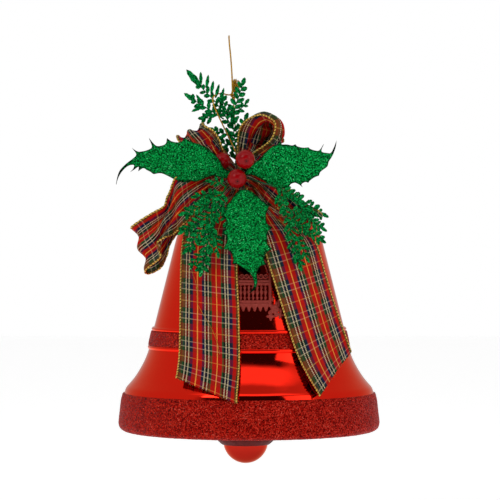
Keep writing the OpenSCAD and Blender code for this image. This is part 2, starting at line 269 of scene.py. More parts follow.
class Shader(Nodes):
    def __init__(self, name):
        self.mat = bpy.data.materials.new(name)
        self.mat.use_nodes = True
        super().__init__(self.mat.node_tree)
        self.bsdf = self.node("BsdfPrincipled", {})
        self.node("OutputMaterial", {0: self.bsdf.outputs[0]})
        self._mm = None

    def set(self, **values):
        for key, value in values.items():
            self.put(self.bsdf.inputs[key.replace("_", " ")], value)

    def vec(self, op, a, b=(0, 0, 0), scale=1.0):
        second = {"Scale": scale} if op == "SCALE" else {1: b}
        return self.node("VectorMath", {0: a, **second}, operation=op).outputs[0]

    def mix(self, fac, a, b, blend="MIX"):
        return self.node("Mix", {0: fac, 6: a, 7: b}, data_type="RGBA", blend_type=blend).outputs[2]

    def ramp(self, fac, stops, mode="LINEAR"):
        n = self.node("ValToRGB", {0: fac})
        r = n.color_ramp
        r.interpolation = mode
        while len(r.elements) > 1:
            r.elements.remove(r.elements[-1])
        for k, (pos, col) in enumerate(stops):
            e = r.elements[0] if k == 0 else r.elements.new(pos)
            e.position = pos
            e.color = col if len(col) == 4 else (*col, 1)
        return n.outputs[0]

    def grey(self, fac, stops, mode="LINEAR"):
        return self.ramp(fac, [(p, (v, v, v, 1)) for p, v in stops], mode)

    @property
    def mm(self):
        """Object coordinates in millimetres."""
        if self._mm is None:
            place = self.node("TexCoord", {}).outputs["Object"]
            self._mm = self.vec("SCALE", place, scale=1000.0)
        return self._mm

    def uv(self):
        place = self.split(self.node("UVMap", {}, uv_map="cloth").outputs[0])
        return place[0], place[1]

    def noise(self, scale, detail=2.0, rough=0.5):
        return self.node("TexNoise", {"Vector": self.mm, "Scale": scale, "Detail": detail,
                                      "Roughness": rough}).outputs[0]

    def cells(self, scale):
        return self.node("TexVoronoi", {"Vector": self.mm, "Scale": scale}).outputs["Color"]

    def bump(self, height, strength, distance_mm, normal=None):
        under = {} if normal is None else {"Normal": normal}
        return self.node("Bump", {"Strength": strength, "Distance": distance_mm * MM, "Height": height,
                                  **under}).outputs[0]

    def jitter(self, colour, amount):
        """The surface normal, thrown about by a random colour."""
        straight = self.node("NewGeometry", {}).outputs["Normal"]
        off = self.vec("SCALE", self.vec("SUBTRACT", colour, (0.5, 0.5, 0.5)), scale=amount)
        return self.vec("NORMALIZE", self.vec("ADD", straight, off))

    def attribute(self, name):
        return self.node("Attribute", {}, attribute_name=name).outputs["Fac"]


def glitter(name, dark, body, bright, painted_glint, cell=0.5, spread=0.8, edge=False):
    """Flakes of metallised film in lacquer: each cell has its own tilt and tone. The two lightest tones are
    painted glints on random flakes.
    """
    s = Shader(name)
    big = s.cells(1 / cell)
    small = s.cells(1 / (cell * 0.5))
    tone = s.split(big)[0]
    fine = s.split(small)[1]
    mixed = s.add(s.mul(tone, 0.75), s.mul(fine, 0.25))
    patch = s.noise(0.16, 3.0, 0.6)
    mixed = s.add(mixed, s.mul(s.sub(patch, 0.5), 0.25), clamp=True)
    # the bright stop and the top stop paint glints on random flakes
    colour = s.ramp(mixed, [(0.0, dark), (0.3, dark), (0.45, body), (0.6, body),
                            (0.75, bright), (0.93, bright), (0.99, painted_glint)])
    if edge:
        colour = s.mix(s.attribute("rim"), colour, lin(6, 26, 12))
    s.set(Base_Color=colour, Metallic=0.3, Specular_IOR_Level=0.08)
    s.set(Roughness=s.grey(fine, [(0, 0.34), (1, 0.55)]))
    s.set(Normal=s.jitter(big, spread), Specular_Tint=tuple(0.25 + 0.75 * c for c in bright[:3]) + (1,))
    return s.mat


def mirror(name, colour, rough=0.07, wave=0.03, metal=1.0):
    """Metallised plastic: a mirror with a faint moulded waviness and fine rubs."""
    s = Shader(name)
    w = s.noise(0.06, 2.0, 0.5)
    fine = s.noise(1.4, 3.0, 0.6)
    rub = s.noise(0.35, 4.0, 0.7)
    s.set(Base_Color=s.mix(s.mul(rub, 0.18), colour, shade(colour, 0.6)))
    s.set(Metallic=metal, Roughness=s.grey(rub, [(0.35, rough), (0.75, rough * 2.2)]))
    s.set(Normal=s.bump(fine, wave, 0.05, s.bump(w, 0.25, 0.6)), Specular_Tint=(1.0, 0.72, 0.6, 1))
    return s.mat


def gold_metal(name, colour, rough=0.22):
    s = Shader(name)
    n = s.noise(0.9, 4.0, 0.65)
    g = s.noise(5.0, 2.0, 0.5)
    s.set(Base_Color=s.mix(n, colour, shade(colour, 0.55)), Metallic=1.0)
    s.set(Roughness=s.grey(n, [(0.3, rough), (0.75, rough * 1.9)]), Normal=s.bump(g, 0.2, 0.05))
    return s.mat


def twisted(name, light, dark, strands, pitch, metal=0.85, dark_share=0.5):
    """Twisted metallic thread, striped along uv: u round the cord and v along it in mm."""
    s = Shader(name)
    u, v = s.uv()
    turn = s.math("FRACT", s.sub(s.mul(u, strands), s.math("DIVIDE", v, pitch)))
    tri = s.math("ABSOLUTE", s.sub(s.mul(turn, 2.0), 1.0))
    fibre = s.math("FRACT", s.mul(turn, 6.0))
    n = s.noise(2.2, 2.0, 0.6)
    colour = s.ramp(tri, [(0.0, light), (1 - dark_share, light), (min(0.98, 1 - dark_share + 0.14), dark)])
    colour = s.mix(s.mul(n, 0.5), colour, shade(light, 0.45))
    s.set(Base_Color=colour, Metallic=metal, Roughness=0.34)
    s.set(Normal=s.bump(s.add(tri, s.mul(fibre, 0.35)), 0.6, 0.12))
    return s.mat


RED = lin(186, 14, 6)
NAVY = lin(22, 24, 62)
GREEN = lin(34, 80, 40)
DKGREEN = lin(16, 50, 26)
DARK = lin(20, 10, 8)
CREAM = lin(222, 204, 164)
GOLD = lin(240, 160, 66)
OLIVE = lin(84, 62, 28)
SETT = [
    (0.0, OLIVE, 0), (1.0, OLIVE, 0), (2.0, GREEN, 0), (3.0, DARK, 0), (3.6, CREAM, 1), (4.4, DARK, 0),
    (5.7, CREAM, 1), (6.4, DKGREEN, 0), (7.2, NAVY, 0), (8.8, RED, 0), (11.5, GOLD, 2), (12.2, RED, 0),
    (14.9, NAVY, 0), (16.5, CREAM, 1), (17.3, DARK, 0), (18.8, CREAM, 1), (19.5, DARK, 0), (20.2, GREEN, 0),
    (21.5, RED, 0), (24.2, GOLD, 2), (24.9, RED, 0), (27.6, GREEN, 0), (28.6, DARK, 0), (29.7, CREAM, 1),
    (30.5, DARK, 0), (31.5, CREAM, 1), (32.3, NAVY, 0), (34.3, RED, 0), (36.4, OLIVE, 0)
]
RIBBON_W = 38.0
WEFT = 17.5


def plaid_material():
    """Woven plaid: warp stripes across u, weft bands along v, both in mm of cloth."""
    s = Shader("ribbon_plaid")
    u, v = s.uv()
    pos = s.math("DIVIDE", u, RIBBON_W)
    half = 16
    first = [(p / RIBBON_W, c) for p, c, _ in SETT[:half]]
    second = [(0.0, SETT[half - 1][1])] + [(p / RIBBON_W, c) for p, c, _ in SETT[half:]]
    cut = SETT[half][0] / RIBBON_W
    pick = s.math("GREATER_THAN", pos, cut)
    warp = s.mix(pick, s.ramp(pos, first, "CONSTANT"), s.ramp(pos, second, "CONSTANT"))

    def mask(kind):
        stops, state = [(0.0, 0.0)], 0.0
        for p, _, k in SETT:
            want = 1.0 if k == kind else 0.0
            if want != state:
                stops.append((p / RIBBON_W, want))
                state = want
        return s.grey(pos, stops, "CONSTANT")

    dotted = mask(1)
    lurex = mask(2)
    dash = s.math("GREATER_THAN", s.math("SINE", s.mul(v, 2 * math.pi / 0.9)), 0.25)
    warp = s.mix(s.mul(s.mul(dotted, dash), 0.8), warp, DARK)
    along = s.math("MODULO", s.add(v, 350.0), WEFT)
    along = s.math("DIVIDE", along, WEFT)

    def at(mm):
        return mm / WEFT
    weft = s.ramp(along, [
        (0.0, DKGREEN), (at(2.6), CREAM), (at(3.2), NAVY), (at(6.1), CREAM), (at(6.7), DKGREEN),
        (at(9.3), RED), (at(13.1), GOLD), (at(13.7), RED)
    ], "CONSTANT")
    weight = s.grey(along, [
        (0.0, 0.3), (at(2.6), 0.3), (at(3.1), 0.32), (at(6.1), 0.3), (at(6.6), 0.3),
        (at(9.3), 0.26), (at(13.1), 0.42), (at(13.6), 0.26)
    ], "CONSTANT")
    red_warp = s.grey(s.split(warp)[0], [(0.2, 1.0), (0.6, 0.45)])
    colour = s.mix(s.mul(weight, red_warp), warp, weft)
    # threads
    tu = s.math("SINE", s.mul(u, 2 * math.pi / 0.42))
    tv = s.math("SINE", s.mul(v, 2 * math.pi / 0.36))
    weave = s.mul(tu, tv)
    fuzz = s.noise(1.1, 3.0, 0.6)
    thread = s.add(s.mul(weave, 0.1), s.mul(s.sub(fuzz, 0.5), 0.35))
    thread = s.grey(s.add(thread, 0.5), [(0.0, 0.62), (0.5, 1), (1.0, 1.25)])
    colour = s.mix(1.0, colour, thread, "MULTIPLY")
    s.set(Base_Color=colour, Metallic=s.mul(lurex, 0.55), Roughness=0.62, Specular_IOR_Level=0.08)
    s.set(Normal=s.bump(s.add(weave, s.mul(fuzz, 0.6)), 0.35, 0.06))
    return s.mat


SHELL = mirror("shell_red", (0.93, 0.02, 0.008, 1), 0.06)
BALL = mirror("ball_red", (0.52, 0.022, 0.012, 1), 0.05)
GLITTER_RED = glitter("glitter_red", lin(88, 3, 2), lin(164, 16, 7), lin(206, 50, 34),
                      lin(250, 140, 120), 0.5, 1.1)
GLITTER_GREEN = glitter("leaf_green", lin(0, 46, 18), lin(0, 124, 48), lin(16, 182, 88),
                        lin(150, 255, 190), 0.56, 1.0, edge=True)
SPRIG_GREEN = glitter("sprig_green", lin(0, 56, 22), lin(0, 116, 48), lin(16, 160, 78),
                      lin(120, 240, 160), 0.62, 0.8, edge=True)
CAP_GOLD = gold_metal("cap_gold", (0.83, 0.58, 0.2, 1))
PLAID = plaid_material()
EDGE = twisted("edge_cord", lin(238, 196, 92), lin(22, 12, 8), 1, 1.8, dark_share=0.42)
CORD = twisted("cord_gold", lin(222, 166, 40), lin(104, 66, 8), 3, 2.2, metal=0.6, dark_share=0.36)


def plain(name, colour, dark, rough, scale, bump_mm, metal=0.0, coat=0.0, spec=0.5):
    s = Shader(name)
    n = s.noise(scale, 4.0, 0.6)
    f = s.noise(scale * 6, 2.0, 0.5)
    s.set(Base_Color=s.mix(n, colour, dark), Metallic=metal)
    s.set(Roughness=s.grey(n, [(0.3, rough), (0.8, min(1, rough * 1.5))]))
    s.set(Normal=s.bump(s.add(n, s.mul(f, 0.4)), 0.5, bump_mm))
    s.set(Coat_Weight=coat, Coat_Roughness=0.08, Specular_IOR_Level=spec)
    return s.mat


RELIEF = plain("relief_rose", lin(176, 72, 60), lin(112, 30, 26), 0.42, 0.9, 0.08, metal=0.3, spec=0.25)
# the collar's dark red is darkened further as painted shade under the bell
COLLAR = plain("collar_dark", lin(120, 20, 14), lin(48, 8, 8), 0.45, 0.8, 0.12, spec=0.2)
WIRE = plain("wire_green", lin(26, 84, 40), lin(10, 44, 20), 0.5, 1.6, 0.08)
STEM = plain("stem_green", lin(30, 92, 44), lin(14, 54, 24), 0.6, 1.1, 0.15)


def berry_material():
    s = Shader("berry_red")
    n = s.noise(0.35, 3.0, 0.6)
    f = s.noise(2.5, 2.0, 0.5)
    colour = s.mix(n, lin(166, 4, 12), lin(118, 2, 8))
    colour = s.mix(s.attribute("rim"), colour, lin(58, 2, 6))
    s.set(Base_Color=colour, Roughness=0.2, Specular_IOR_Level=0.16)
    s.set(Normal=s.bump(s.add(n, s.mul(f, 0.15)), 0.2, 0.3), Subsurface_Weight=0.05)
    return s.mat


BERRY = berry_material()


def inner_red():
    s = Shader("shell_inside")
    n = s.noise(0.1, 3.0, 0.6)
    s.set(Base_Color=s.mix(n, lin(120, 12, 8), lin(84, 8, 6)), Roughness=s.grey(n, [(0.3, 0.3), (0.8, 0.5)]))
    s.set(Normal=s.bump(n, 0.3, 0.3))
    return s.mat


INSIDE = inner_red()


def float_attribute(o, name, values):
    a = o.data.attributes.new(name, "FLOAT", "POINT")
    a.data.foreach_set("value", [float(v) for v in values])


# ---------------------------------------------------------------- the cord first
ROUTE = [(3.4, 0.9, -36.4), (2.9, 0.9, -40), (3.1, 0.8, -46), (3.5, 0.7, -52), (4.6, 0.9, -58),
         (7, 1.3, -65), (10, 1.8, -71), (11.6, 1.8, -73.4), (11.8, 1.27, -74.7), (11.8, 0, -75.2),
         (11.8, -1.27, -74.7), (11, -2.4, -73.6), (9.2, -4.8, -73.9), (7.2, -9, -73.4), (6.4, -12.2, -72.4),
         (4.6, -13, -70.6), (2.6, -12.2, -66.6), (0.8, -11.4, -62.6), (-3.2, -10.6, -54.4),
         (-7, -10.2, -46.4), (-9.2, -10, -41), (-9.4, -9.4, -37.4), (-7.4, -8, -35.2), (-4, -5, -34.6),
         (-1, -2.2, -35), (1, -1, -34.8), (2, -1.4, -32.6), (1.9, -1.8, -28), (1.6, -2, -20), (1, -2, -12),
         (0.4, -2, -6), (0.1, -1.9, -2.6), (0, -1.3, -0.3), (0, 0, 0.45), (0, 1.3, -0.3), (0.1, 1.9, -2.6),
         (0.4, 2, -6), (1, 2, -12), (1.6, 2, -20), (2.1, 1.8, -28), (2.2, 1.3, -34.4)]
cord_path = resample(catmull(ROUTE, 10), 0.32)
v, f, u = tube_mesh(cord_path, 0.47, 12, 3, 0.12, 2.2)
cord = make("cord", v, f, CORD, uv=u, normals=True)

# the knot: the cord's own thread laid in an overhand knot
KNOT = (2.7, 0.0, -35.7)
over = []
for k in range(60):
    a = 2 * math.pi * k / 60
    over.append((KNOT[0] + 0.52 * (math.sin(a) + 2 * math.sin(2 * a)), KNOT[1] + 0.5 * -math.sin(3 * a) * 1.6,
                 KNOT[2] + 0.52 * (math.cos(a) - 2 * math.cos(2 * a))))
over.append(over[0])
v, f, u = tube_mesh(over, 0.55, 10, 3, 0.12, 2.2)
knot = make("knot", v, f, CORD, uv=u, normals=True)

rnd = random.Random(11)
parts = []
for tip, bend in (((5.4, -0.3, -27.2), 1.1), ((3.7, 0.2, -26.4), -0.7)):
    base = (3.3, 0, -34.6)
    mid = (base[0] + (tip[0] - base[0]) * 0.45 + bend * 0.5, -0.1, -31)
    parts.append(tube_mesh(resample(catmull([base, mid, tip], 8), 0.3), 0.42, 10, 3, 0.14, 2.0))
    for _ in range(26):
        a = rnd.uniform(0, 2 * math.pi)
        d = rnd.uniform(0.2, 1.0)
        end = (tip[0] + d * math.cos(a), tip[1] + d * math.sin(a) * 0.8, tip[2] + rnd.uniform(-1.2, 1.2))
        start = (base[0] + rnd.uniform(-0.3, 0.3), base[1] + rnd.uniform(-0.3, 0.3),
                 base[2] + rnd.uniform(0, 2.4))
        belly = (mid[0] + 1.5 * d * math.cos(a), mid[1] + d * math.sin(a), mid[2] + rnd.uniform(-0.6, 1.2))
        parts.append(tube_mesh(catmull([start, belly, end], 6), 0.17, 5))
v, f, u = join_parts(parts)
tassel = make("cord_ends", v, f, CORD, uv=u, normals=True)
for piece, node in ((cord, "hanging_cord"), (knot, "cord_knot"), (tassel, "cord_tassel")):
    dress(piece, node)


# ---------------------------------------------------------------- bell
CONE_TOP = (43.75, -121.7)
CONE_FOOT = (56.7, -173.4)


def dome(a, t=0.0):
    """The dome's profile at a degrees above its equator, t mm inside its skin."""
    return ((44.9 - t) * math.cos(math.radians(a)), -130.9 + (40.9 - t) * math.sin(math.radians(a)))


def cone_r(z):
    """Radius of the straight part of the bell at height z."""
    (r0, z0), (r1, z1) = CONE_TOP, CONE_FOOT
    return r0 + (z0 - z) * (r1 - r0) / (z0 - z1)


flare = [(60.2, -187.8), (61.5, -191.4), (63.1, -195), (65.05, -198.6), (67.25, -202.2), (69.4, -205.2),
         (71.6, -207.8), (73.6, -210.2), (74.6, -213), (75.8, -218.4), (76.4, -223.8), (77, -229.2),
         (77.1, -231.3), (76.5, -233.2), (75.2, -234.4), (73.5, -234.9)]
inside = [(72, -234.9), (72, -233.4), (73.5, -233.3), (75, -232.2), (75.4, -229.3), (74.8, -224),
          (74.2, -218.8), (73, -213.5), (72.3, -211.3), (70.4, -208.9), (68.2, -206.3), (66.1, -203),
          (63.9, -199.4), (62.1, -195.7), (60.6, -192), (58.7, -188.4), (55.2, -174)]
outer = [(3.2, -90.12)] + [dome(a) for a in np.linspace(83, 13, 48)]
outer += [(cone_r(z), z) for z in np.linspace(-122.6, -173.4, 30)] + [(58.4, -180.6)]
outer += list(catmull(flare, 4))
shell = lathe("bell_outside", outer, SHELL, seg=256)
dress(shell, "bell_shell")
inner = [(73.5, -234.9)] + list(catmull(inside, 3)) + [dome(a, 1.6) for a in np.linspace(13, 83, 40)]
inner += [(3.2, -91.8), (3.2, -90.12)]
lining = lathe("bell_inside", inner, INSIDE, seg=200)
dress(lining, "bell_shell")


def grain(amount, seed):
    r = random.Random(seed)

    def shift(radius, z, angle):
        return radius + r.uniform(-amount, amount), z + r.uniform(-amount, amount) * 0.6
    return shift


belt = [(57.75, -176.2), (58.6, -176.3), (58.95, -177.6), (59.5, -180), (60.05, -182.4), (60.4, -184.3),
        (60.0, -184.9), (59.9, -184.95)]
belt = resample(belt, 0.42)
band = lathe("waist_glitter", belt, GLITTER_RED, seg=400, shift=grain(0.12, 3))
ridge_top = catmull([(56.9, -174.3), (57.5, -173.9), (58.2, -174.5), (58.35, -175.3),
                     (58.1, -176.1), (57.4, -176.5)], 5)
ridge_low = catmull([(59.5, -184.7), (60.3, -184.9), (60.75, -185.7), (60.6, -186.6),
                     (60.2, -187.1), (59.7, -187)], 5)
dress(band, "waist_band")
for place, profile in (("upper", ridge_top), ("lower", ridge_low)):
    ridge = lathe("waist_ridge_" + place, profile, SHELL, seg=256)
    dress(ridge, "waist_band")

skin = [(74.7, -213.2), (75.5, -213.4), (76.0, -214.6), (76.8, -218.4), (77.4, -223.8), (78, -229.2),
        (78.1, -231.5), (77.4, -233.9), (75.6, -235.4), (73.6, -235.9), (73.3, -235.0)]
skin = resample(catmull(skin, 3), 0.5)
rim = lathe("rim_glitter", skin, GLITTER_RED, seg=440, shift=grain(0.13, 5))
dress(rim, "rim_band")


# ---------------------------------------------------------------- relief, as a height field on the bell
BURIED = -0.3


def relief_height(s, z):
    """Height over the bell's wall at arc distance s and height z, both arrays in mm."""
    h = np.full(s.shape, BURIED)

    def add(where, height):
        nonlocal h
        h = np.maximum(h, np.where(where, height, BURIED))

    def rounded(t):
        return np.sqrt(np.clip(1 - t ** 2, 0, 1))

    def bar(c, half, top, reach=11.6):
        t = np.abs(z - c) / half
        e = reach - np.abs(s)
        add((t < 1) & (e > 0), top * rounded(t) * np.clip(e / 0.3, 0, 1) ** 0.5)

    # rails of the balcony
    for c, half, top in ((-145.9, 0.75, 0.95), (-147.5, 0.85, 1.1), (-157.7, 0.75, 1.1), (-159.3, 0.8, 0.95),
                         (-146.8, 1.7, 0.45), (-158.5, 1.7, 0.45)):
        bar(c, half, top)
    # turned spindles
    for k in range(-4, 5):
        d = np.abs(s - k * 2.38)
        w = 0.42 + 0.42 * np.exp(-((z + 149.8) / 0.55) ** 2) + 0.55 * np.exp(-((z + 152.4) / 1.15) ** 2) \
            + 0.42 * np.exp(-((z + 155.6) / 0.6) ** 2)
        add((d < w) & (z > -157.2) & (z < -148.2), 0.35 + np.sqrt(np.clip(w ** 2 - d ** 2, 0, 9)))
    # scalloped fringe
    for k in range(-3, 4):
        d = np.abs(s - k * 3.3)
        t = (-160.0 - z) / 3.3
        w = 1.65 * np.sqrt(np.clip(1 - t, 0, 1)) * (1 + 0.15 * np.cos(t * 6))
        add((t > -0.1) & (t < 1) & (d < w), 0.75 * rounded(d / np.maximum(w, 1e-3)) + 0.05)
    # scrolls over the rail
    for k in range(-4, 4):
        x, y = s - k * 2.75 - 1.37, z + 143.2
        r = np.hypot(x, y)
        off = (r - 1.1 + 0.12 * np.arctan2(y, x)) / 0.42
        add(np.abs(off) < 1, 0.85 * rounded(off) + 0.1)
        add(r < 0.4, 0.7)
    # beaded arch
    for radius, half, top in ((12.4, 0.75, 1.0), (10.7, 0.45, 0.7)):
        t = np.abs(np.hypot(s, z + 142) - radius) / half
        beads = 0.82 + 0.18 * np.cos(np.arctan2(z + 142, s) * radius * 2.2)
        add((t < 1) & (z > -141.5), top * beads * rounded(t))
    # posts, leafy brackets and bosses on both sides
    for side in (-1, 1):
        d = np.abs(s * side - 12.3)
        add((d < 0.8) & (z > -159) & (z < -141.4), 0.6 + 0.4 * rounded(d / 0.8))
        for cx, cz, size, lobes, turn in (
                (15.2, -162.2, 4.7, 5, 0.4), (12.6, -166.2, 2.6, 4, 0.0),
                (18.4, -165.2, 2.5, 4, 0.9), (17.6, -158.6, 2.4, 4, 0.3)):
            x, y = s * side - cx, z - cz
            r, a = np.hypot(x, y), np.arctan2(y, x)
            edge = size * (0.76 + 0.24 * np.cos(lobes * a + turn))
            vein = 0.16 * np.cos(lobes * 2 * a + 2 * turn) * np.clip(r / size, 0, 1) + 0.12 * np.cos(r * 3.2)
            add(r < edge, (0.95 + vein) * rounded((r / np.maximum(edge, 1e-3)) ** 2))
        d = np.abs(s * side - 13.6) / 1.5 + np.abs(z + 156.2) / 1.6
        add(d < 1, 0.9 * np.clip(1 - d, 0, 1) ** 0.6)
    return h


STEP = 0.24
CONE_SLOPE = 0.2505
ss, zz = np.meshgrid(np.arange(-21.6, 21.7, STEP), np.arange(-169.2, -128.6, STEP))
hh = relief_height(ss, zz)
rr = CONE_TOP[0] + (CONE_TOP[1] - zz) * CONE_SLOPE
tilt = math.atan(CONE_SLOPE)
ang = ss / rr
rad = rr + hh * math.cos(tilt)
pts = np.stack([BELL_X + rad * np.sin(ang), -rad * np.cos(ang), zz + hh * math.sin(tilt)], axis=-1)
rows, cols = ss.shape
keep = hh > -0.29
faces = []
for i in range(rows - 1):
    for j in range(cols - 1):
        if keep[i, j] or keep[i + 1, j] or keep[i, j + 1] or keep[i + 1, j + 1]:
            a = i * cols + j
            faces.append((a, a + 1, a + cols + 1, a + cols))
used = sorted({i for q in faces for i in q})
index = {old: new for new, old in enumerate(used)}
flat = pts.reshape(-1, 3)
relief = make("relief", [flat[i] for i in used], [[index[i] for i in q] for q in faces], RELIEF)
dress(relief, "front_relief")


# ---------------------------------------------------------------- clapper
CX, BR, BZ = 10.0, 13.5, -242.3
prof = [(BR * math.sin(math.radians(a)), BR * math.cos(math.radians(a))) for a in np.linspace(0, 86, 30)]
prof += [(BR * q, BR * z) for q, z in ((0.9985, 0.045), (0.992, 0.02), (0.992, -0.02), (0.9985, -0.045))]
prof += [(BR * math.sin(math.radians(a)), BR * math.cos(math.radians(a))) for a in np.linspace(94, 180, 30)]
prof[0], prof[-1] = (0.0, BR), (0.0, -BR)
ball = lathe("ball", prof, BALL, centre=(CX, 0, BZ), seg=96)
dress(ball, "clapper_ball", "clapper")


def ruffle(r, z, a):
    k = max(0.0, (r - 13.4) / 4.4)
    return r + 0.22 * k * math.cos(14 * a), z + 0.35 * k * math.cos(14 * a)


prof = catmull([(13.6, 3.4), (13.9, 4.5), (15.6, 4.5), (17.2, 3.9), (17.7, 2.6), (17.4, 0.9), (15.6, -1),
                (14.0, -2.2), (13.45, -1.4), (13.5, 1)], 4, closed=True)
collar = lathe("collar", prof, COLLAR, centre=(CX, 0, BZ), seg=140, closed=True, shift=ruffle)
dress(collar, "clapper_collar", "clapper")


def crimp(r, z, a):
    k = 1.0 if 3.6 < r else 0.0
    return r + 0.12 * k * math.cos(24 * a), z


prof = [(0, 13.6), (2, 13.4), (4.1, 12.9), (4.25, 13.6), (4.2, 15), (4.0, 15.6), (3.2, 16.1), (1.6, 16.5),
        (1.1, 16.65), (0, 16.7)]
prof = [prof[0]] + list(catmull(prof[1:-1], 3)) + [prof[-1]]
cap = lathe("clapper_cap_crimped", prof, CAP_GOLD, centre=(CX, 0, BZ), seg=96, shift=crimp)
dress(cap, "clapper_cap", "clapper")


# ---------------------------------------------------------------- ribbon
RIBBON_T = 0.32


def edge_cords(grid):
    """The twisted cords along the two long edges of a ribbon."""
    return [tube_mesh(resample(grid[:, j], 0.45), 0.62, 8, 2, 0.16, 3.6) for j in (0, -1)]


def ribbon(name, left, right, pleats, wave, seed, flip):
    """A loop of wired ribbon between two edge curves, with its twisted edge cords.
    pleats is (share of the length from the start, from the end, count, depth)."""
    across, fold_to = 36, 30.0
    start, end, count, crease = pleats
    a, b = catmull(left, 8), catmull(right, 8)
    n = len(a)
    s = np.linspace(0, 1, across + 1)
    grid = a[:, None, :] * (1 - s[None, :, None]) + b[:, None, :] * s[None, :, None]
    du = np.gradient(grid, axis=0)
    dv = np.gradient(grid, axis=1)
    nor = np.cross(du, dv)
    nor /= np.maximum(np.linalg.norm(nor, axis=2)[..., None], 1e-6)
    off = np.zeros((n, across + 1))
    for i in range(n):
        t = i / (n - 1)
        for j in range(across + 1):
            q = Vector((t * 3.1 + seed * 7.3, s[j] * 1.6, seed * 1.7))
            off[i, j] += noise.noise(q) * wave * min(1.0, 6 * t, 6 * (1 - t) + 0.4)
            k = max(0.0, 1 - t / start, 1 - (1 - t) / end)
            off[i, j] += crease * min(1.0, k * 1.6) * math.sin(2 * math.pi * count * s[j] + seed)
    # the cloth keeps its width, so where the loop is narrow it lies in folds
    run = np.linalg.norm(b - a, axis=1)
    for i in range(n):
        t = i / (n - 1)
        near = max(0.0, 1 - min(t, 1 - t) / 0.32)
        folds = 2.0 + 3.0 * near
        wave_row = np.sin(2 * math.pi * folds * s + seed)
        depth = 0.0
        while depth < 3.4 and np.sum(np.hypot(run[i] / across, np.diff(wave_row) * depth)) < fold_to:
            depth += 0.1
        off[i] += depth * wave_row
    grid = grid + nor * off[..., None]
    v_along = distances(grid[:, across // 2]) + seed * 4.0
    uvs = []
    for i in range(n):
        for j in range(across + 1):
            uvs.append(((1 - s[j] if flip else s[j]) * RIBBON_W, v_along[i]))
    cloth = make("ribbon_" + name, grid.reshape(-1, 3), grid_faces(n, across + 1), PLAID, uv=uvs)
    solid(cloth, RIBBON_T)
    dress(cloth, name)
    v, f, u = join_parts(edge_cords(grid))
    edges = make("ribbon_" + name + "_edges", v, f, EDGE, uv=u, normals=True)
    dress(edges, name)
    return name, cloth, edges, float(v_along[-1] - v_along[0])


# loops: (upper or near edge, lower or far edge), from the knot out and back to it
UL = ([(-1, -18, -78), (-3.4, -23, -70), (-4.9, -25, -63), (-8, -25.5, -57.6), (-12.5, -24, -54.8),
       (-15, -20, -54.6), (-13, -15.5, -59), (-9, -13.5, -66), (-4, -13.4, -75), (0, -14, -80)],
      [(-3, -20, -85), (-10, -22, -81), (-18, -16, -75.5), (-25, -10, -69.5), (-28.8, -6, -62.6),
       (-30, -1, -62), (-26, 0, -69), (-18, -4, -77), (-8, -11, -83), (-2, -15, -86)])
LL = ([(-1, -17, -80), (-13, -26, -80.5), (-23, -29.5, -82), (-30.8, -31.5, -85.6), (-33.8, -31.8, -94),
       (-36.6, -31.6, -102), (-43.6, -31.5, -106.2), (-51, -31, -110.6), (-55.3, -29.8, -113.8),
       (-54.4, -27.6, -115), (-46, -25.8, -112), (-36, -24.6, -104.5), (-26, -23, -97), (-14, -20, -88),
       (-2, -15, -82)],
      [(-1, -19, -88), (-10, -28, -94), (-19, -33, -104), (-26.6, -35, -113.6), (-33, -35.2, -118.8),
       (-39.2, -34.6, -123), (-38.6, -34.4, -128.6), (-39.4, -33.8, -132.6), (-47, -32, -138.8),
       (-46.2, -29.2, -141.6), (-40, -27, -138.4), (-36.4, -26, -131.6), (-33, -25.2, -122),
       (-18, -22, -104), (-2, -16, -88)])
UR = ([(6, -20, -80), (14.9, -27, -71.4), (21, -29, -67), (24.8, -29.5, -63.7), (27.2, -30, -58.8),
       (27.6, -30, -53.3), (23.6, -30, -49.9), (18.8, -29, -48.4), (12.2, -28, -50.4), (7.0, -26, -55.6),
       (5.4, -23, -64), (5.4, -20.5, -72), (5, -18, -80)],
      [(8, -13, -79), (17, -11, -71), (24.5, -10.5, -68.2), (29.4, -10.6, -64.4), (31.8, -11.4, -60.2),
       (30.6, -11, -55), (29, -9.5, -52.4), (28, -8.5, -52.4), (28.6, -8.4, -55.6), (30, -8.6, -60),
       (25.5, -9, -65.6), (15.5, -11, -72), (7, -13, -80)])
LR = ([(8, -20, -80), (18, -27, -81), (27, -29.5, -84.5), (33.8, -30, -90.4), (38, -29.8, -95.8),
       (42, -29.6, -100.2), (47, -29, -102.6), (51, -28, -104.4), (52.6, -26.6, -106.6), (50, -25, -105.6),
       (42, -24.4, -100), (32, -23.4, -92), (20, -20.4, -84.6), (10, -16, -80.5)],
      [(8, -22, -88), (14, -30, -94), (18, -33, -101.5), (23, -34, -107), (29, -34, -111.5),
       (35, -33.4, -115), (41, -32, -117), (46, -30, -117.4), (48.4, -27.6, -117), (46, -25.6, -116.4),
       (40, -25.4, -112), (31, -24.4, -104), (20, -21.4, -95), (9, -17, -87)])
# name, its two edges, (share pleated at the start, at the end, pleats, their depth in mm), wave, seed, flip
LOOPS = [
    ("bow_loop_upper_left", *UL, (0.22, 0.22, 3, 0.7), 0.7, 1, False),
    ("bow_loop_lower_left", *LL, (0.2, 0.2, 3, 0.9), 0.6, 2, True),
    ("bow_loop_upper_right", *UR, (0.14, 0.14, 3, 0.7), 0.9, 3, False),
    ("bow_loop_lower_right", *LR, (0.22, 0.2, 3, 0.9), 0.7, 4, False)
]
ribbons = [ribbon(*row) for row in LOOPS]

DRAPE = np.array([(24, -96), (31, -100.5), (36, -106.5), (40.2, -113.5), (43.8, -121.8), (50.8, -150),
                  (56.7, -173.4), (61.4, -188.4), (66.2, -198), (75.9, -212.2), (77.4, -219)])
DRAPE_S = catmull(DRAPE, 6)


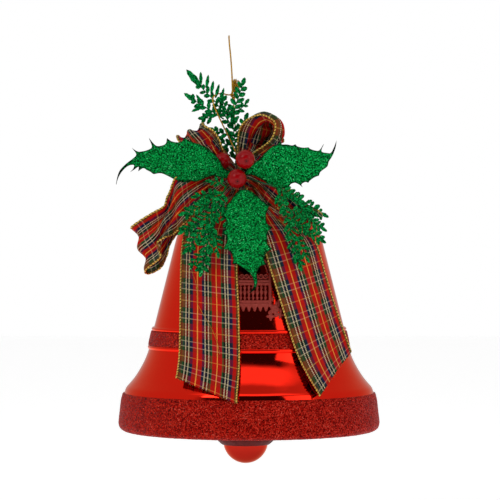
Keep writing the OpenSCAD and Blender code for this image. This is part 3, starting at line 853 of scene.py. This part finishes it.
def on_tail(turn, s, z, lift=0.0):
    """A point of a tail, s sideways in the tail's own frame, at height z."""
    d = float(np.interp(-z, -DRAPE_S[:, 1], DRAPE_S[:, 0]))
    r = max(d, 30.0)
    sag = r - math.sqrt(max(r * r - s * s, 0.0))
    d = d + 1.2 + lift - 0.5 * sag
    t = math.radians(turn)
    return (BELL_X + s * math.cos(t) + d * math.sin(t), s * math.sin(t) - d * math.cos(t), z)


TAIL_L = ([(-3, -88.5), (-8.5, -93), (-14, -98.5), (-20, -106), (-25, -115), (-26.3, -126), (-25, -142),
           (-23.4, -158), (-22, -174), (-20.3, -188), (-18.8, -201.3)],
          [(6, -89), (7, -95), (7.8, -102), (8.3, -109), (8.8, -117), (9.6, -130), (11, -146), (13.2, -162),
           (15.2, -178), (17.9, -195), (21.2, -214.3)])
TAIL_R = ([(-20.5, -91), (-20.5, -98), (-22.5, -103), (-24.8, -110), (-25, -120), (-24, -134),
           (-21.5, -150), (-18.8, -165), (-16.5, -180), (-14.4, -195), (-12.6, -211)],
          [(-16, -91), (-13.5, -98), (-8, -103.5), (0, -111), (8, -117.5), (14, -125), (17.5, -141),
           (20.5, -155), (23.2, -168), (25.2, -178.5), (26.8, -188)])


def tail(name, turn, sides, seed, curl):
    """A tail is laid row by row down the bell, bending a little with its wall."""
    span = 7
    a, b = catmull(sides[0], span), catmull(sides[1], span)
    n, across = len(a), 20
    grid = np.zeros((n, across + 1, 3))
    for i in range(n):
        t = i / (n - 1)
        for j in range(across + 1):
            q = j / across
            s = a[i][0] * (1 - q) + b[i][0] * q
            z = a[i][1] * (1 - q) + b[i][1] * q
            lift = 0.5 * noise.noise(Vector((t * 4 + seed, q * 1.4, seed * 3.3))) + 0.45
            lift += curl * max(0.0, t - 0.8) * 5 * (q - 0.5) ** 2
            lift += 0.9 * max(0.0, 1 - t * 3.4) * math.sin(2 * math.pi * 3 * q + seed)
            lift += 0.35 * math.sin(t * 11 + q * 2.5 + seed) * (q * 2 - 1) ** 2
            grid[i, j] = on_tail(turn, s, z, lift)
    along = distances(grid[:, across // 2])
    uvs = [(RIBBON_W * j / across, along[i] + seed * 3.0) for i in range(n) for j in range(across + 1)]
    cloth = make("ribbon_" + name, grid.reshape(-1, 3), grid_faces(n, across + 1), PLAID, uv=uvs)
    solid(cloth, RIBBON_T)
    dress(cloth, name)
    parts = edge_cords(grid)
    # warp ends that have come loose at the cut edge
    r = random.Random(seed)
    for _ in range(26):
        j = r.uniform(0.4, across - 0.4)
        p = grid[-1, int(j)] * (1 - j % 1) + grid[-1, int(j) + 1] * (j % 1)
        down = (grid[-1, int(j)] - grid[-2, int(j)])
        down = down / np.linalg.norm(down)
        end = p + down * r.uniform(0.3, 0.9) + np.array([r.uniform(-0.25, 0.25), r.uniform(-0.3, 0.1), 0])
        parts.append(tube_mesh([p - down * 0.4, (p + end) / 2, end], 0.09, 4))
    v, f, u = join_parts(parts)
    edges = make("ribbon_" + name + "_edges", v, f, EDGE, uv=u, normals=True)
    dress(edges, name)
    return name, cloth, edges, float(along[-1])


for name, turn, sides, seed, curl in (("tail_left", -20, TAIL_L, 1, 6.0), ("tail_right", 40, TAIL_R, 2, 5.0)):
    ribbons.append(tail(name, turn, sides, seed, curl))

# the loose metallic thread that wanders over the left tail
thread = []
for x, z in ((-23.5, -127), (-22.6, -134), (-21.2, -141), (-18.9, -147), (-18.4, -150.4), (-18.1, -153),
             (-17.8, -158.5), (-15.5, -163), (-11.6, -169), (-7.9, -175.8), (-5.9, -181), (-4.5, -187.7)):
    t = math.radians(-20)
    d = float(np.interp(-z, -DRAPE_S[:, 1], DRAPE_S[:, 0])) + 2
    thread.append(on_tail(-20, (x - BELL_X - d * math.sin(t)) / math.cos(t), z, 1.5))
curl = [(thread[4][0] + x, thread[4][1] + y, thread[4][2] + z)
        for x, y, z in ((0, 0, 0), (0.8, -0.6, -0.4), (0.1, -0.8, 0.7), (0, 0, 0))]
v, f, u = join_parts([tube_mesh(resample(catmull(thread, 5), 0.6), 0.16, 6, 2, 0.2, 1.2),
                      tube_mesh(resample(catmull(curl, 5), 0.3), 0.3, 6)])
loose = make("loose_thread", v, f, CORD, uv=u, normals=True)
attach(loose, "bell")


# the ribbon between the loops, gathered into the tie behind the berries
def gather(name, left, right, seed):
    a, b = catmull(left, 6), catmull(right, 6)
    cols = 16
    verts, uvs = [], []
    along = 0.0
    for i in range(len(a)):
        along += float(np.linalg.norm(a[i] - a[i - 1])) if i else 0.0
        for j in range(cols + 1):
            q = j / cols
            p = a[i] * (1 - q) + b[i] * q
            verts.append((p[0], p[1] + 0.9 * math.sin(2 * math.pi * 3 * q + seed), p[2]))
            uvs.append((RIBBON_W * q, along + seed * 5.0))
    o = make(name, verts, grid_faces(len(a), cols + 1), PLAID, uv=uvs)
    solid(o, RIBBON_T)
    dress(o, "bow_knot")


gather("gather_left", [(5, -20, -79), (0, -22, -72), (-4, -22.6, -66), (-8, -22.6, -61)],
       [(5, -20, -86), (-4, -22, -83), (-12, -23, -78), (-17, -23, -73)], 1)
gather("gather_right", [(5, -20, -79), (7, -20, -73.6), (8.4, -18.8, -68), (9.4, -17.6, -62)],
       [(5, -20, -86), (12, -20, -81), (18, -18.8, -74.6), (22, -17.6, -70)], 2)
gather("gather_low_left", [(4, -20, -82), (-4, -24, -83), (-12, -26, -86), (-18, -27, -91)],
       [(6, -20, -88), (2, -25, -93), (-2, -28, -99), (-6, -30, -105)], 3)
gather("gather_low_right", [(6, -20, -82), (12, -24, -83), (17, -26, -86), (22, -27, -90)],
       [(4, -20, -88), (8, -25, -93), (11, -28, -98), (14, -30, -103)], 4)


# the pinched centre of the bow: gathered folds round the tie
def pinch():
    rows, cols = 22, 96
    verts, uvs = [], []
    for i in range(rows):
        x = -4.2 + 18.4 * i / (rows - 1)
        t = abs(x - 5) / 9.2
        for k in range(cols):
            a = 2 * math.pi * k / cols
            fold = 0.5 * math.sin(9 * a + 0.7 * math.sin(2 * a)) + 0.35 * math.sin(5 * a + x * 0.35)
            r = (4.3 + 2.7 * t ** 1.3) + fold * (0.45 + 0.8 * t)
            if i in (0, rows - 1):
                r *= 0.25
            verts.append((x, -16 + r * math.cos(a), -83.5 + r * math.sin(a) * 1.0))
            uvs.append((RIBBON_W * (k / cols), (x + 5) * 1.1))
    ends = [tuple(range(cols)), tuple(range(rows * cols - 1, (rows - 1) * cols - 1, -1))]
    return make("bow_centre", verts, grid_faces(rows, cols, wrap=True) + ends, PLAID, uv=uvs, normals=True)


centre = pinch()
dress(centre, "bow_knot")


# ---------------------------------------------------------------- holly leaves
def smooth_outline(points, n=4):
    """Closed outline in (x, z). A third item marks a sharp spine tip."""
    m = len(points)
    out = []
    for i in range(m):
        b, c = points[i], points[(i + 1) % m]
        a, d = points[i - 1], points[(i + 2) % m]
        pb, pc = np.array(b[:2], float), np.array(c[:2], float)
        tb = (pc - np.array(a[:2], float)) / 2 if len(b) < 3 else (pc - pb) * 0.9
        tc = (np.array(d[:2], float) - pb) / 2 if len(c) < 3 else (pc - pb) * 0.9
        size = np.linalg.norm(pc - pb)
        for t_ in (tb, tc):
            length = np.linalg.norm(t_)
            if length > 1.3 * size:
                t_ *= 1.3 * size / length
        for k in range(n):
            t = k / n
            h = (2 * t ** 3 - 3 * t ** 2 + 1) * pb + (t ** 3 - 2 * t ** 2 + t) * tb \
                + (-2 * t ** 3 + 3 * t ** 2) * pc + (t ** 3 - t ** 2) * tc
            out.append(h)
    return np.array(out)


def inside_polygon(p, poly):
    x, y = p
    hit = False
    j = len(poly) - 1
    for i in range(len(poly)):
        xi, yi = poly[i]
        xj, yj = poly[j]
        if (yi > y) != (yj > y) and x < (xj - xi) * (y - yi) / (yj - yi) + xi:
            hit = not hit
        j = i
    return hit


def edge_distance(p, poly):
    a, b = poly, np.roll(poly, -1, axis=0)
    ab = b - a
    t = np.clip(np.sum((p - a) * ab, axis=1) / np.maximum(np.sum(ab * ab, axis=1), 1e-9), 0, 1)
    return float(np.min(np.linalg.norm(a + ab * t[:, None] - p, axis=1)))


def leaf(name, node, outline, rib, place, fold, bend, seed, grid=1.15):
    """A creased leaf from its outline. rib is the midrib's points, fold its slopes on either side, and
    bend how far it arches to the viewer, over which length, along x (0) or z (1)."""
    arch, reach, axis = bend
    poly = smooth_outline(outline)
    n = len(poly)
    pts = [Vector((p[0], p[1])) for p in poly]
    lo, hi = poly.min(axis=0), poly.max(axis=0)
    row = 0
    y = lo[1]
    while y < hi[1]:
        x = lo[0] + (grid / 2 if row % 2 else 0)
        while x < hi[0]:
            q = np.array([x, y])
            if inside_polygon(q, poly) and edge_distance(q, poly) > grid * 0.45:
                pts.append(Vector((x, y)))
            x += grid
        y += grid * 0.866
        row += 1
    res = geometry.delaunay_2d_cdt(pts, [], [list(range(n))], 1, 1e-5)
    v2, tris = res[0], res[2]
    rib_line = resample(catmull(rib, 6), 0.5)
    verts, rim_v = [], []
    for p in v2:
        q = np.array([p[0], p[1]])
        d = np.linalg.norm(rib_line - q, axis=1)
        k = int(np.argmin(d))
        k2 = min(k + 1, len(rib_line) - 1)
        tangent = rib_line[k2] - rib_line[max(k2 - 2, 0)]
        side = tangent[0] * (q[1] - rib_line[k][1]) - tangent[1] * (q[0] - rib_line[k][0])
        dist = float(d[k])
        soft = math.sqrt(dist * dist + 0.3) - 0.55
        y = soft * (fold[0] if side > 0 else fold[1])
        vein = math.cos((k * 0.5 + dist * 0.7) * 2 * math.pi / 8.5)
        y -= 0.3 * vein * min(1.0, dist / 4)
        y -= arch * math.sin(min(1.0, q[axis] / reach) * math.pi)
        y += 0.35 * noise.noise(Vector((q[0] * 0.12, q[1] * 0.12, seed * 5.0)))
        verts.append((q[0], y, q[1]))
        e = edge_distance(q, poly)
        thin = 1.0 if e < 1e-4 else 0.0
        narrow = max(0.0, 1 - e / 0.8)
        rim_v.append(min(1.0, 0.75 * thin + 0.25 * narrow))
    rot = Euler([math.radians(c) for c in place[1]]).to_matrix()
    o3 = Vector(place[0])
    verts = [tuple(rot @ Vector(p) + o3) for p in verts]
    o = make(name, verts, tris, GLITTER_GREEN, normals=True)
    float_attribute(o, "rim", rim_v)
    solid(o, 0.55)
    dress(o, node)
    return o


LEAF_L = [(0, 0), (-5, 1.4), (-7.5, 3.4), (-10.6, 8.8), (-15.6, 13.4), (-20.6, 16.4), (-27, 18.6),
          (-30.2, 20.6, 1), (-32.2, 18.2), (-35, 17.9), (-38, 18.6), (-40.6, 20.4, 1), (-41.4, 17.2),
          (-44.3, 15.9), (-47.4, 16.2), (-51.4, 20.6, 1), (-49.6, 15.4), (-52, 13.6), (-56, 12.6),
          (-58.4, 12.8), (-61.6, 14.8, 1), (-58.8, 11), (-60.8, 8.6), (-64.8, 5.6), (-68.6, 1.6),
          (-70.2, -2.8), (-70.8, -6.6, 1), (-69.4, -2.4), (-67, 1.4), (-63.6, 4.4), (-60.4, 4.9),
          (-60.6, 3.2), (-62.6, 0.8, 1), (-58.4, 3.4), (-57.4, 3.6), (-57.8, 1.2, 1), (-54.8, 3),
          (-52.6, 1.9), (-50.4, 0.8), (-48.6, -0.4), (-45.4, 0), (-42.8, -0.4), (-39.4, -2), (-35.6, -4),
          (-31.2, -5.2), (-27.8, -4.6), (-24, -5), (-20.8, -4.2), (-18, -2.8), (-13.2, -1.6), (-10.4, -2.2),
          (-5.4, -3.2)]
LEAF_R = [(0, 0), (3.8, 4.6), (9.8, 9.5), (14.2, 14.4), (17.4, 16.8), (20.2, 17.8), (21.4, 20.4, 1),
          (22.4, 18), (25.6, 17.8), (28.6, 17.2), (30.6, 18, 1), (31.6, 16.8), (35, 16), (38.3, 16.2, 1),
          (39.4, 15.2), (42.6, 14.3), (44.8, 14.6), (47.4, 18.2, 1), (46, 14), (49.2, 13), (51.8, 13.2),
          (53.8, 17), (55, 20.4, 1), (54.4, 16.4), (52.6, 11.6), (50.4, 8), (49.6, 5.2), (45.8, 2.2),
          (44.8, -0.2, 1), (42.2, -1.2), (39.5, -3.1), (38.6, -4.4, 1), (36.8, -3.9), (34.6, -5.2),
          (35.2, -7, 1), (33.4, -5.6), (30.8, -4.4), (28.2, -5.2), (26.8, -7.4), (25.4, -8.6, 1),
          (22.6, -6.9), (19.8, -7.4), (15.4, -5.8), (12, -3.2), (8.8, -1.5), (5, 0)]
LEAF_D = [(9.7, 1), (6, 0.4), (3, -3), (0.6, -6.4), (-1.4, -8, 1), (-1, -10), (-1.6, -12.4),
          (-3.7, -14.6, 1), (-1.4, -16.4), (-1, -19), (-1.4, -22), (-3.4, -25, 1), (-1, -26.8), (-0.8, -30),
          (-2.8, -34.4, 1), (0.2, -35), (2, -37.5), (3, -40.4), (2.4, -43, 1), (5, -43.4), (8, -45),
          (11, -47.4), (13.6, -50.4), (14.8, -54), (14.2, -57.6), (11.6, -60.8, 1), (15.6, -58),
          (16.8, -54), (16.6, -50.4), (17, -47.4), (18.6, -44.6), (21.8, -43.4, 1), (20.8, -40.6),
          (21.6, -37), (25.4, -34, 1), (22.8, -31.4), (22.4, -27), (22.8, -24), (25.6, -21.4, 1),
          (22.6, -19), (21.8, -15), (22.4, -11.6), (23.6, -8.6, 1), (20.6, -6), (17, -3), (14, -0.4)]
leaf("leaf_upper_left", "holly_leaf_left", LEAF_L,
     [(-1, -1.2), (-12, 2), (-30, 5.4), (-47, 6), (-60, 6.6), (-67, 3.2), (-70.4, -5)],
     ((4.5, -37.0, -83.0), (0, 0, -6)), (0.38, 0.10), (1.76, -60, 0), 1)
leaf("leaf_upper_right", "holly_leaf_right", LEAF_R,
     [(1, 0.4), (12, 4), (26, 7.4), (40, 9.4), (49, 11), (54.4, 18)],
     ((8.6, -37.0, -84.2), (0, 0, 6)), (0.08, 0.30), (1.6, 52, 0), 2)
leaf("leaf_lower_middle", "holly_leaf_lower", LEAF_D,
     [(10, 0), (9.5, -12), (10.4, -26), (11.4, -40), (14.6, -50), (12.6, -60)],
     ((0, -46.4, -94), (-13.6, 0, 0)), (0.16, 0.16), (1.2, -55, 1), 3)


# ---------------------------------------------------------------- berries
def berry(name, node, centre, r, turn):
    """A lacquered berry with its dried flower mark, turned so that the mark faces (azimuth, elevation)."""
    prof = []
    for a in np.linspace(0, 180, 44):
        rr = r
        if a < 22:
            t = a / 22
            rr = r * (1 - 0.075 * (1 - t * t) ** 1.5 + 0.03 * math.exp(-((a - 12) / 3.0) ** 2))
        if a < 4:
            rr = r * (0.965 + 0.01 * a / 4)
        prof.append((rr * math.sin(math.radians(a)), rr * math.cos(math.radians(a))))
    prof[0], prof[-1] = (0.0, prof[0][1]), (0.0, prof[-1][1])
    place = Vector(centre) * 0.31

    def lumps(q, z, a):
        w = 1 + 0.012 * noise.noise(Vector((q * math.cos(a) * 0.3, q * math.sin(a) * 0.3, z * 0.3)) + place)
        if 0.05 * r < q < 0.26 * r and z > 0:
            w += 0.01 * math.cos(5 * a)
        return q * w, z * w
    o = lathe(name, prof, BERRY, centre=(0, 0, 0), seg=56, shift=lumps)
    values = []
    for p in o.data.vertices:
        q = math.hypot(p.co.x, p.co.y) / MM / r
        mark = 1.0 if q < 0.07 else 0.0 if q < 0.13 else 0.6 * math.exp(-((q - 0.2) / 0.05) ** 2)
        values.append(mark if p.co.z > 0 else 0)
    float_attribute(o, "rim", values)
    az, el = (math.radians(c) for c in turn)
    d = Vector((math.sin(az) * math.cos(el), -math.cos(az) * math.cos(el), math.sin(el)))
    rot = Vector((0, 0, 1)).rotation_difference(d).to_matrix().to_4x4()
    o.data.transform(rot)
    o.data.transform(Matrix.Translation(Vector(centre) * MM))
    dress(o, node)
    return o


berry("berry_a", "berry_upper_left", (-3.8, -29.5, -75.8), 5.0, (-16, -8))
berry("berry_b", "berry_upper_right", (9.8, -43, -75.4), 5.55, (8, -14))
berry("berry_c", "berry_lower", (5, -43, -86.6), 5.55, (4, -20))


# ---------------------------------------------------------------- sprigs
def leaflet_mesh(start, along, up, size, width, curl):
    """A small scalloped, cupped blade with a midrib, closed on both faces."""
    along, up = Vector(along).normalized(), Vector(up).normalized()
    side = along.cross(up).normalized()
    up = side.cross(along).normalized()
    start = Vector(start)
    top, bottom = [], []
    n, m = 7, 5
    for i in range(n):
        t = i / (n - 1)
        w = width * math.sin(math.pi * min(1.0, 0.08 + t * 0.92)) ** 0.7 * (0.75 + 0.25 * t)
        w = max(w * (1 + 0.12 * math.sin(t * 17)), 0.12)
        for j in range(m):
            q = j / (m - 1) * 2 - 1
            base = start + along * (size * t) + side * (w * q)
            base += up * (curl * t * t * size + 0.22 * width * q * q)
            th = 0.26 * (1 - 0.75 * q * q) * (1 - 0.6 * t)
            top.append(base + up * th)
            bottom.append(base - up * th)
    verts = [tuple(p) for p in top + bottom]
    k = n * m
    faces = grid_faces(n, m) + grid_faces(n, m, base=k, flip=True)
    loop = [i * m for i in range(n)] + [(n - 1) * m + j for j in range(1, m)]
    loop += [i * m + m - 1 for i in range(n - 2, -1, -1)] + list(range(m - 2, 0, -1))
    for a, b in zip(loop, loop[1:] + loop[:1]):
        faces.append((a, b, b + k, a + k))
    return verts, faces, [0.0] * len(verts)


def spray(name, node, stems, facing, size, seed, gap, width, extra=()):
    """stems are 3-D polylines. Leaflets stand in pairs along each, and one ends it."""
    r = random.Random(seed)
    face = Vector(facing)
    parts = []
    for line, scale in stems:
        p = resample(catmull(line, 6), 0.7)
        taper = np.linspace(1, 0.55, len(p))
        v, f, _ = tube_mesh(p, 0.5 * (0.8 + 0.2 * scale), 7, taper=taper)
        parts.append((v, f, [0.35] * len(v)))
        t, _, _ = frames(p)
        run = distances(p)
        s = size * 0.5
        flip = 1
        while s < run[-1]:
            k = int(np.searchsorted(run, s))
            k = min(k, len(p) - 1)
            tangent = Vector(t[k])
            out = tangent.cross(face).normalized() * flip
            lean = r.uniform(40, 58)
            shrink = 1.0 - 0.25 * (s / run[-1])
            d = tangent * math.cos(math.radians(lean)) + out * math.sin(math.radians(lean))
            d += face * r.uniform(-0.28, 0.32)
            up = face + out * r.uniform(-0.5, 0.5)
            long = size * scale * shrink * r.uniform(0.85, 1.15)
            wide = size * scale * width * r.uniform(0.85, 1.15)
            parts.append(leaflet_mesh(p[k], d, up, long, wide, r.uniform(-0.1, 0.15)))
            flip = -flip
            s += size * gap * 0.5 * r.uniform(0.85, 1.15)
        parts.append(leaflet_mesh(p[-1], Vector(t[-1]), face, size * scale * 0.95, size * scale * width, 0.1))
    for a, b, half in extra:
        d = Vector(b) - Vector(a)
        parts.append(leaflet_mesh(a, d, face, d.length, half, 0.06))
    verts, faces, rim_v = join_parts(parts)
    o = make(name, verts, faces, SPRIG_GREEN, normals=True)
    float_attribute(o, "rim", [x * 0.6 for x in rim_v])
    dress(o, node)
    return o


def flat_stems(stems, place, turn=0.0):
    """2-D stems in a tilted plane, as 3-D polylines in the row frame."""
    (origin, tilt_deg) = place
    out = []
    rot = Euler((math.radians(tilt_deg), 0, 0)).to_matrix()
    spin = Euler((0, 0, math.radians(turn))).to_matrix()
    for pts_, scale in stems:
        line = []
        for q in pts_:
            x, z, y = q[0], q[1], q[2] if len(q) > 2 else 0.0
            p = rot @ Vector((x, -0.4 - y, z)) + Vector(origin)
            if turn:
                p = spin @ p + Vector((BELL_X, 0, 0))
            line.append(tuple(p))
        out.append((line, scale))
    return out


UP = [([(4.5, -78), (4.2, -70), (3.4, -62), (2.5, -53)], 1.0),
      ([(2.5, -54), (3.6, -44), (6.4, -35), (8, -30)], 1.0),
      ([(2.5, -56), (-2.4, -47.6), (-9, -38.6), (-14.6, -33), (-17.6, -29.6)], 0.9),
      ([(-3, -50), (-10, -45.4), (-17, -41), (-21, -38.6)], 0.95),
      ([(-6, -47), (-10, -49), (-14, -49.4)], 0.9), ([(3, -60), (-3, -58.6), (-8, -57)], 0.95),
      ([(3.4, -60), (7, -55), (9.4, -50.4)], 0.95), ([(4, -66), (-1.6, -65), (-6.4, -63)], 0.95),
      ([(4.2, -66), (8, -63.6), (10.4, -60)], 0.9), ([(2.6, -51), (-1.6, -44.4), (-3.6, -38.4)], 0.9),
      ([(3.4, -46), (7.2, -43.6), (9.6, -41)], 0.8), ([(4.4, -74), (0.4, -71.6), (-2.6, -68.6)], 0.9),
      ([(4.4, -73), (7.6, -70), (9, -66)], 0.9)]
Y_UP = -8.2
UP_TIPS = [((-16.4, Y_UP, -31), (-25.4, Y_UP - 1, -20.6), 2.3),
           ((-16.6, Y_UP, -29.4), (-16.8, Y_UP, -21.8), 1.2),
           ((-13.4, Y_UP, -31.6), (-12.2, Y_UP - 0.6, -23.6), 1.25),
           ((-10.6, Y_UP, -35), (-9.2, Y_UP, -27.2), 1.25),
           ((-8, Y_UP, -37.4), (-5.7, Y_UP - 0.6, -29.2), 1.2),
           ((-5.4, Y_UP, -41), (-2.9, Y_UP, -31.4), 1.2),
           ((-19.6, Y_UP, -39.6), (-26.8, Y_UP - 0.6, -34.6), 1.7),
           ((-15.6, Y_UP, -41.6), (-19.4, Y_UP, -35.4), 1.2), ((-15, Y_UP, -42), (-22.2, Y_UP, -45.6), 1.3),
           ((-10, Y_UP, -45.6), (-17.4, Y_UP - 0.6, -50.2), 1.4)]
spray("sprig_top", "sprig_upper", flat_stems(UP, ((0, -7.6, 0), 0)), (0, -1, 0.1), 5.3, 5,
      gap=0.7, width=0.3, extra=UP_TIPS)
DL = [
    ([(-1.5, -1.5), (-5, -10), (-8, -20)], 1.0), ([(-8, -20), (-11.6, -34), (-15, -49)], 1.0),
    ([(-4, -7), (-13, -11.6), (-24, -16.4)], 0.95), ([(-8.5, -20), (-16, -27.6), (-23, -37)], 0.95),
    ([(-6, -14), (-14, -20), (-25, -27)], 0.9), ([(-3.4, -8), (-10, -6), (-17, -7)], 0.85),
    ([(-9.6, -25), (-7, -32), (-6, -39)], 0.8), ([(-13, -40), (-17.6, -43), (-20, -46.6)], 0.7),
    ([(-1, -2), (-5, 1), (-9, 1.6)], 0.75), ([(-5, -10), (-1.6, -15), (-0.6, -22)], 0.85)
]
spray("sprig_low_left", "sprig_lower_left", flat_stems(DL, ((0, -44, -90), -9.5)), (0, -1, 0.16), 6.2, 6,
      gap=0.54, width=0.24)
DR = [
    ([(-20.5, -1), (-11, -4), (-2, -9)], 1.0), ([(-2, -9), (6, -12.6), (14, -16.6)], 1.0),
    ([(-18, -2.5), (-14.6, -11), (-12, -20)], 1.0), ([(-12, -18), (-1, -25), (9.6, -31.6)], 1.0),
    ([(-12, -20), (-10.4, -33), (-8, -46)], 1.0), ([(-2, -9), (3, -19), (12, -25)], 0.9),
    ([(-13, -14), (-6, -16), (2, -18)], 0.85), ([(-11, -28), (-5, -35), (-2, -42)], 0.85)
]
spray("sprig_low_right", "sprig_lower_right", flat_stems(DR, ((0, -45.5, -90), -10.4), 40),
      (0.5, -0.85, 0.16), 6.2, 7, gap=0.54, width=0.24)


# ---------------------------------------------------------------- CAD nodes that stay, with their materials
KEPT = {
    "crown_cap": CAP_GOLD, "crown_eye": CAP_GOLD, "clapper_hook": CAP_GOLD, "clapper_link": CAP_GOLD,
    "clapper_rod": CAP_GOLD, "bow_tie_wire": CAP_GOLD, "floral_pick": STEM, "floral_wires": WIRE
}
for node_name, mat in KEPT.items():
    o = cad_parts[node_name]
    o.data.materials.clear()
    o.data.materials.append(mat)


# ---------------------------------------------------------------- stage and light
def floor():
    s = Shader("floor")
    n = s.noise(0.02, 2.0, 0.5)
    s.set(Base_Color=s.mix(n, (0.86, 0.86, 0.86, 1), (0.83, 0.83, 0.83, 1)), Roughness=0.9)
    s.set(Emission_Color=(1, 1, 1, 1), Emission_Strength=0.5)
    reach, level = 3000, -300
    corners = [(-reach, -reach, level), (reach, -reach, level), (reach, reach, level),
               (-reach, reach, level)]
    o = make("floor", corners, [(0, 1, 2, 3)], s.mat, smooth=False)


floor()

world = bpy.data.worlds.new("studio")
bpy.context.scene.world = world
world.use_nodes = True
w = Nodes(world.node_tree)
wx, wy, wz = w.split(w.node("TexCoord", {}).outputs["Generated"])
elev = w.math("ARCSINE", wz)
azim = w.math("ARCTAN2", wx, w.mul(wy, -1.0))


def window(value, centre, half, soft):
    """1 within half of centre, 0 beyond half + soft."""
    d = w.math("ABSOLUTE", w.sub(value, centre))
    return w.math("SUBTRACT", 1.0, w.math("DIVIDE", w.sub(d, half), soft, clamp=True), clamp=True)


D = math.pi / 180
dark = w.mul(window(azim, 0.0, 40 * D, 14 * D), window(elev, 31 * D, 13 * D, 6 * D))
low = w.mul(window(azim, 0.0, 9 * D, 6 * D), window(elev, 3 * D, 8 * D, 5 * D))
dark = w.math("MAXIMUM", dark, low)
bright = w.mul(window(azim, 0.0, 50 * D, 30 * D), window(elev, 58 * D, 7 * D, 8 * D))
sides = w.sub(0.55, w.mul(window(elev, 90 * D, 12 * D, 20 * D), 0.12))
level = w.add(sides, w.mul(bright, 0.75))
level = w.mul(level, w.sub(1.0, w.mul(dark, 0.96)))
seen = w.node("LightPath", {}).outputs["Is Camera Ray"]
strength = w.node("Mix", {0: seen, 2: level, 3: 1.0}).outputs[0]
back = w.node("Background", {"Color": (1, 1, 1, 1), "Strength": strength})
w.node("OutputWorld", {0: back.outputs[0]})


def area(name, place, aim, size, power):
    d = bpy.data.lights.new(name, "AREA")
    d.shape = "RECTANGLE"
    d.size, d.size_y = size
    d.energy = power
    o = bpy.data.objects.new(name, d)
    o.location = place
    o.rotation_euler = (Vector(aim) - Vector(place)).to_track_quat("-Z", "Y").to_euler()
    bpy.context.scene.collection.objects.link(o)


area("key", (-0.7, -1.0, 0.75), (0, 0, -0.12), (0.5, 0.5), 3.6)
area("fill", (0.9, -0.8, 0.35), (0, 0, -0.12), (0.6, 0.6), 1.6)
bpy.context.scene.view_settings.view_transform = "Standard"
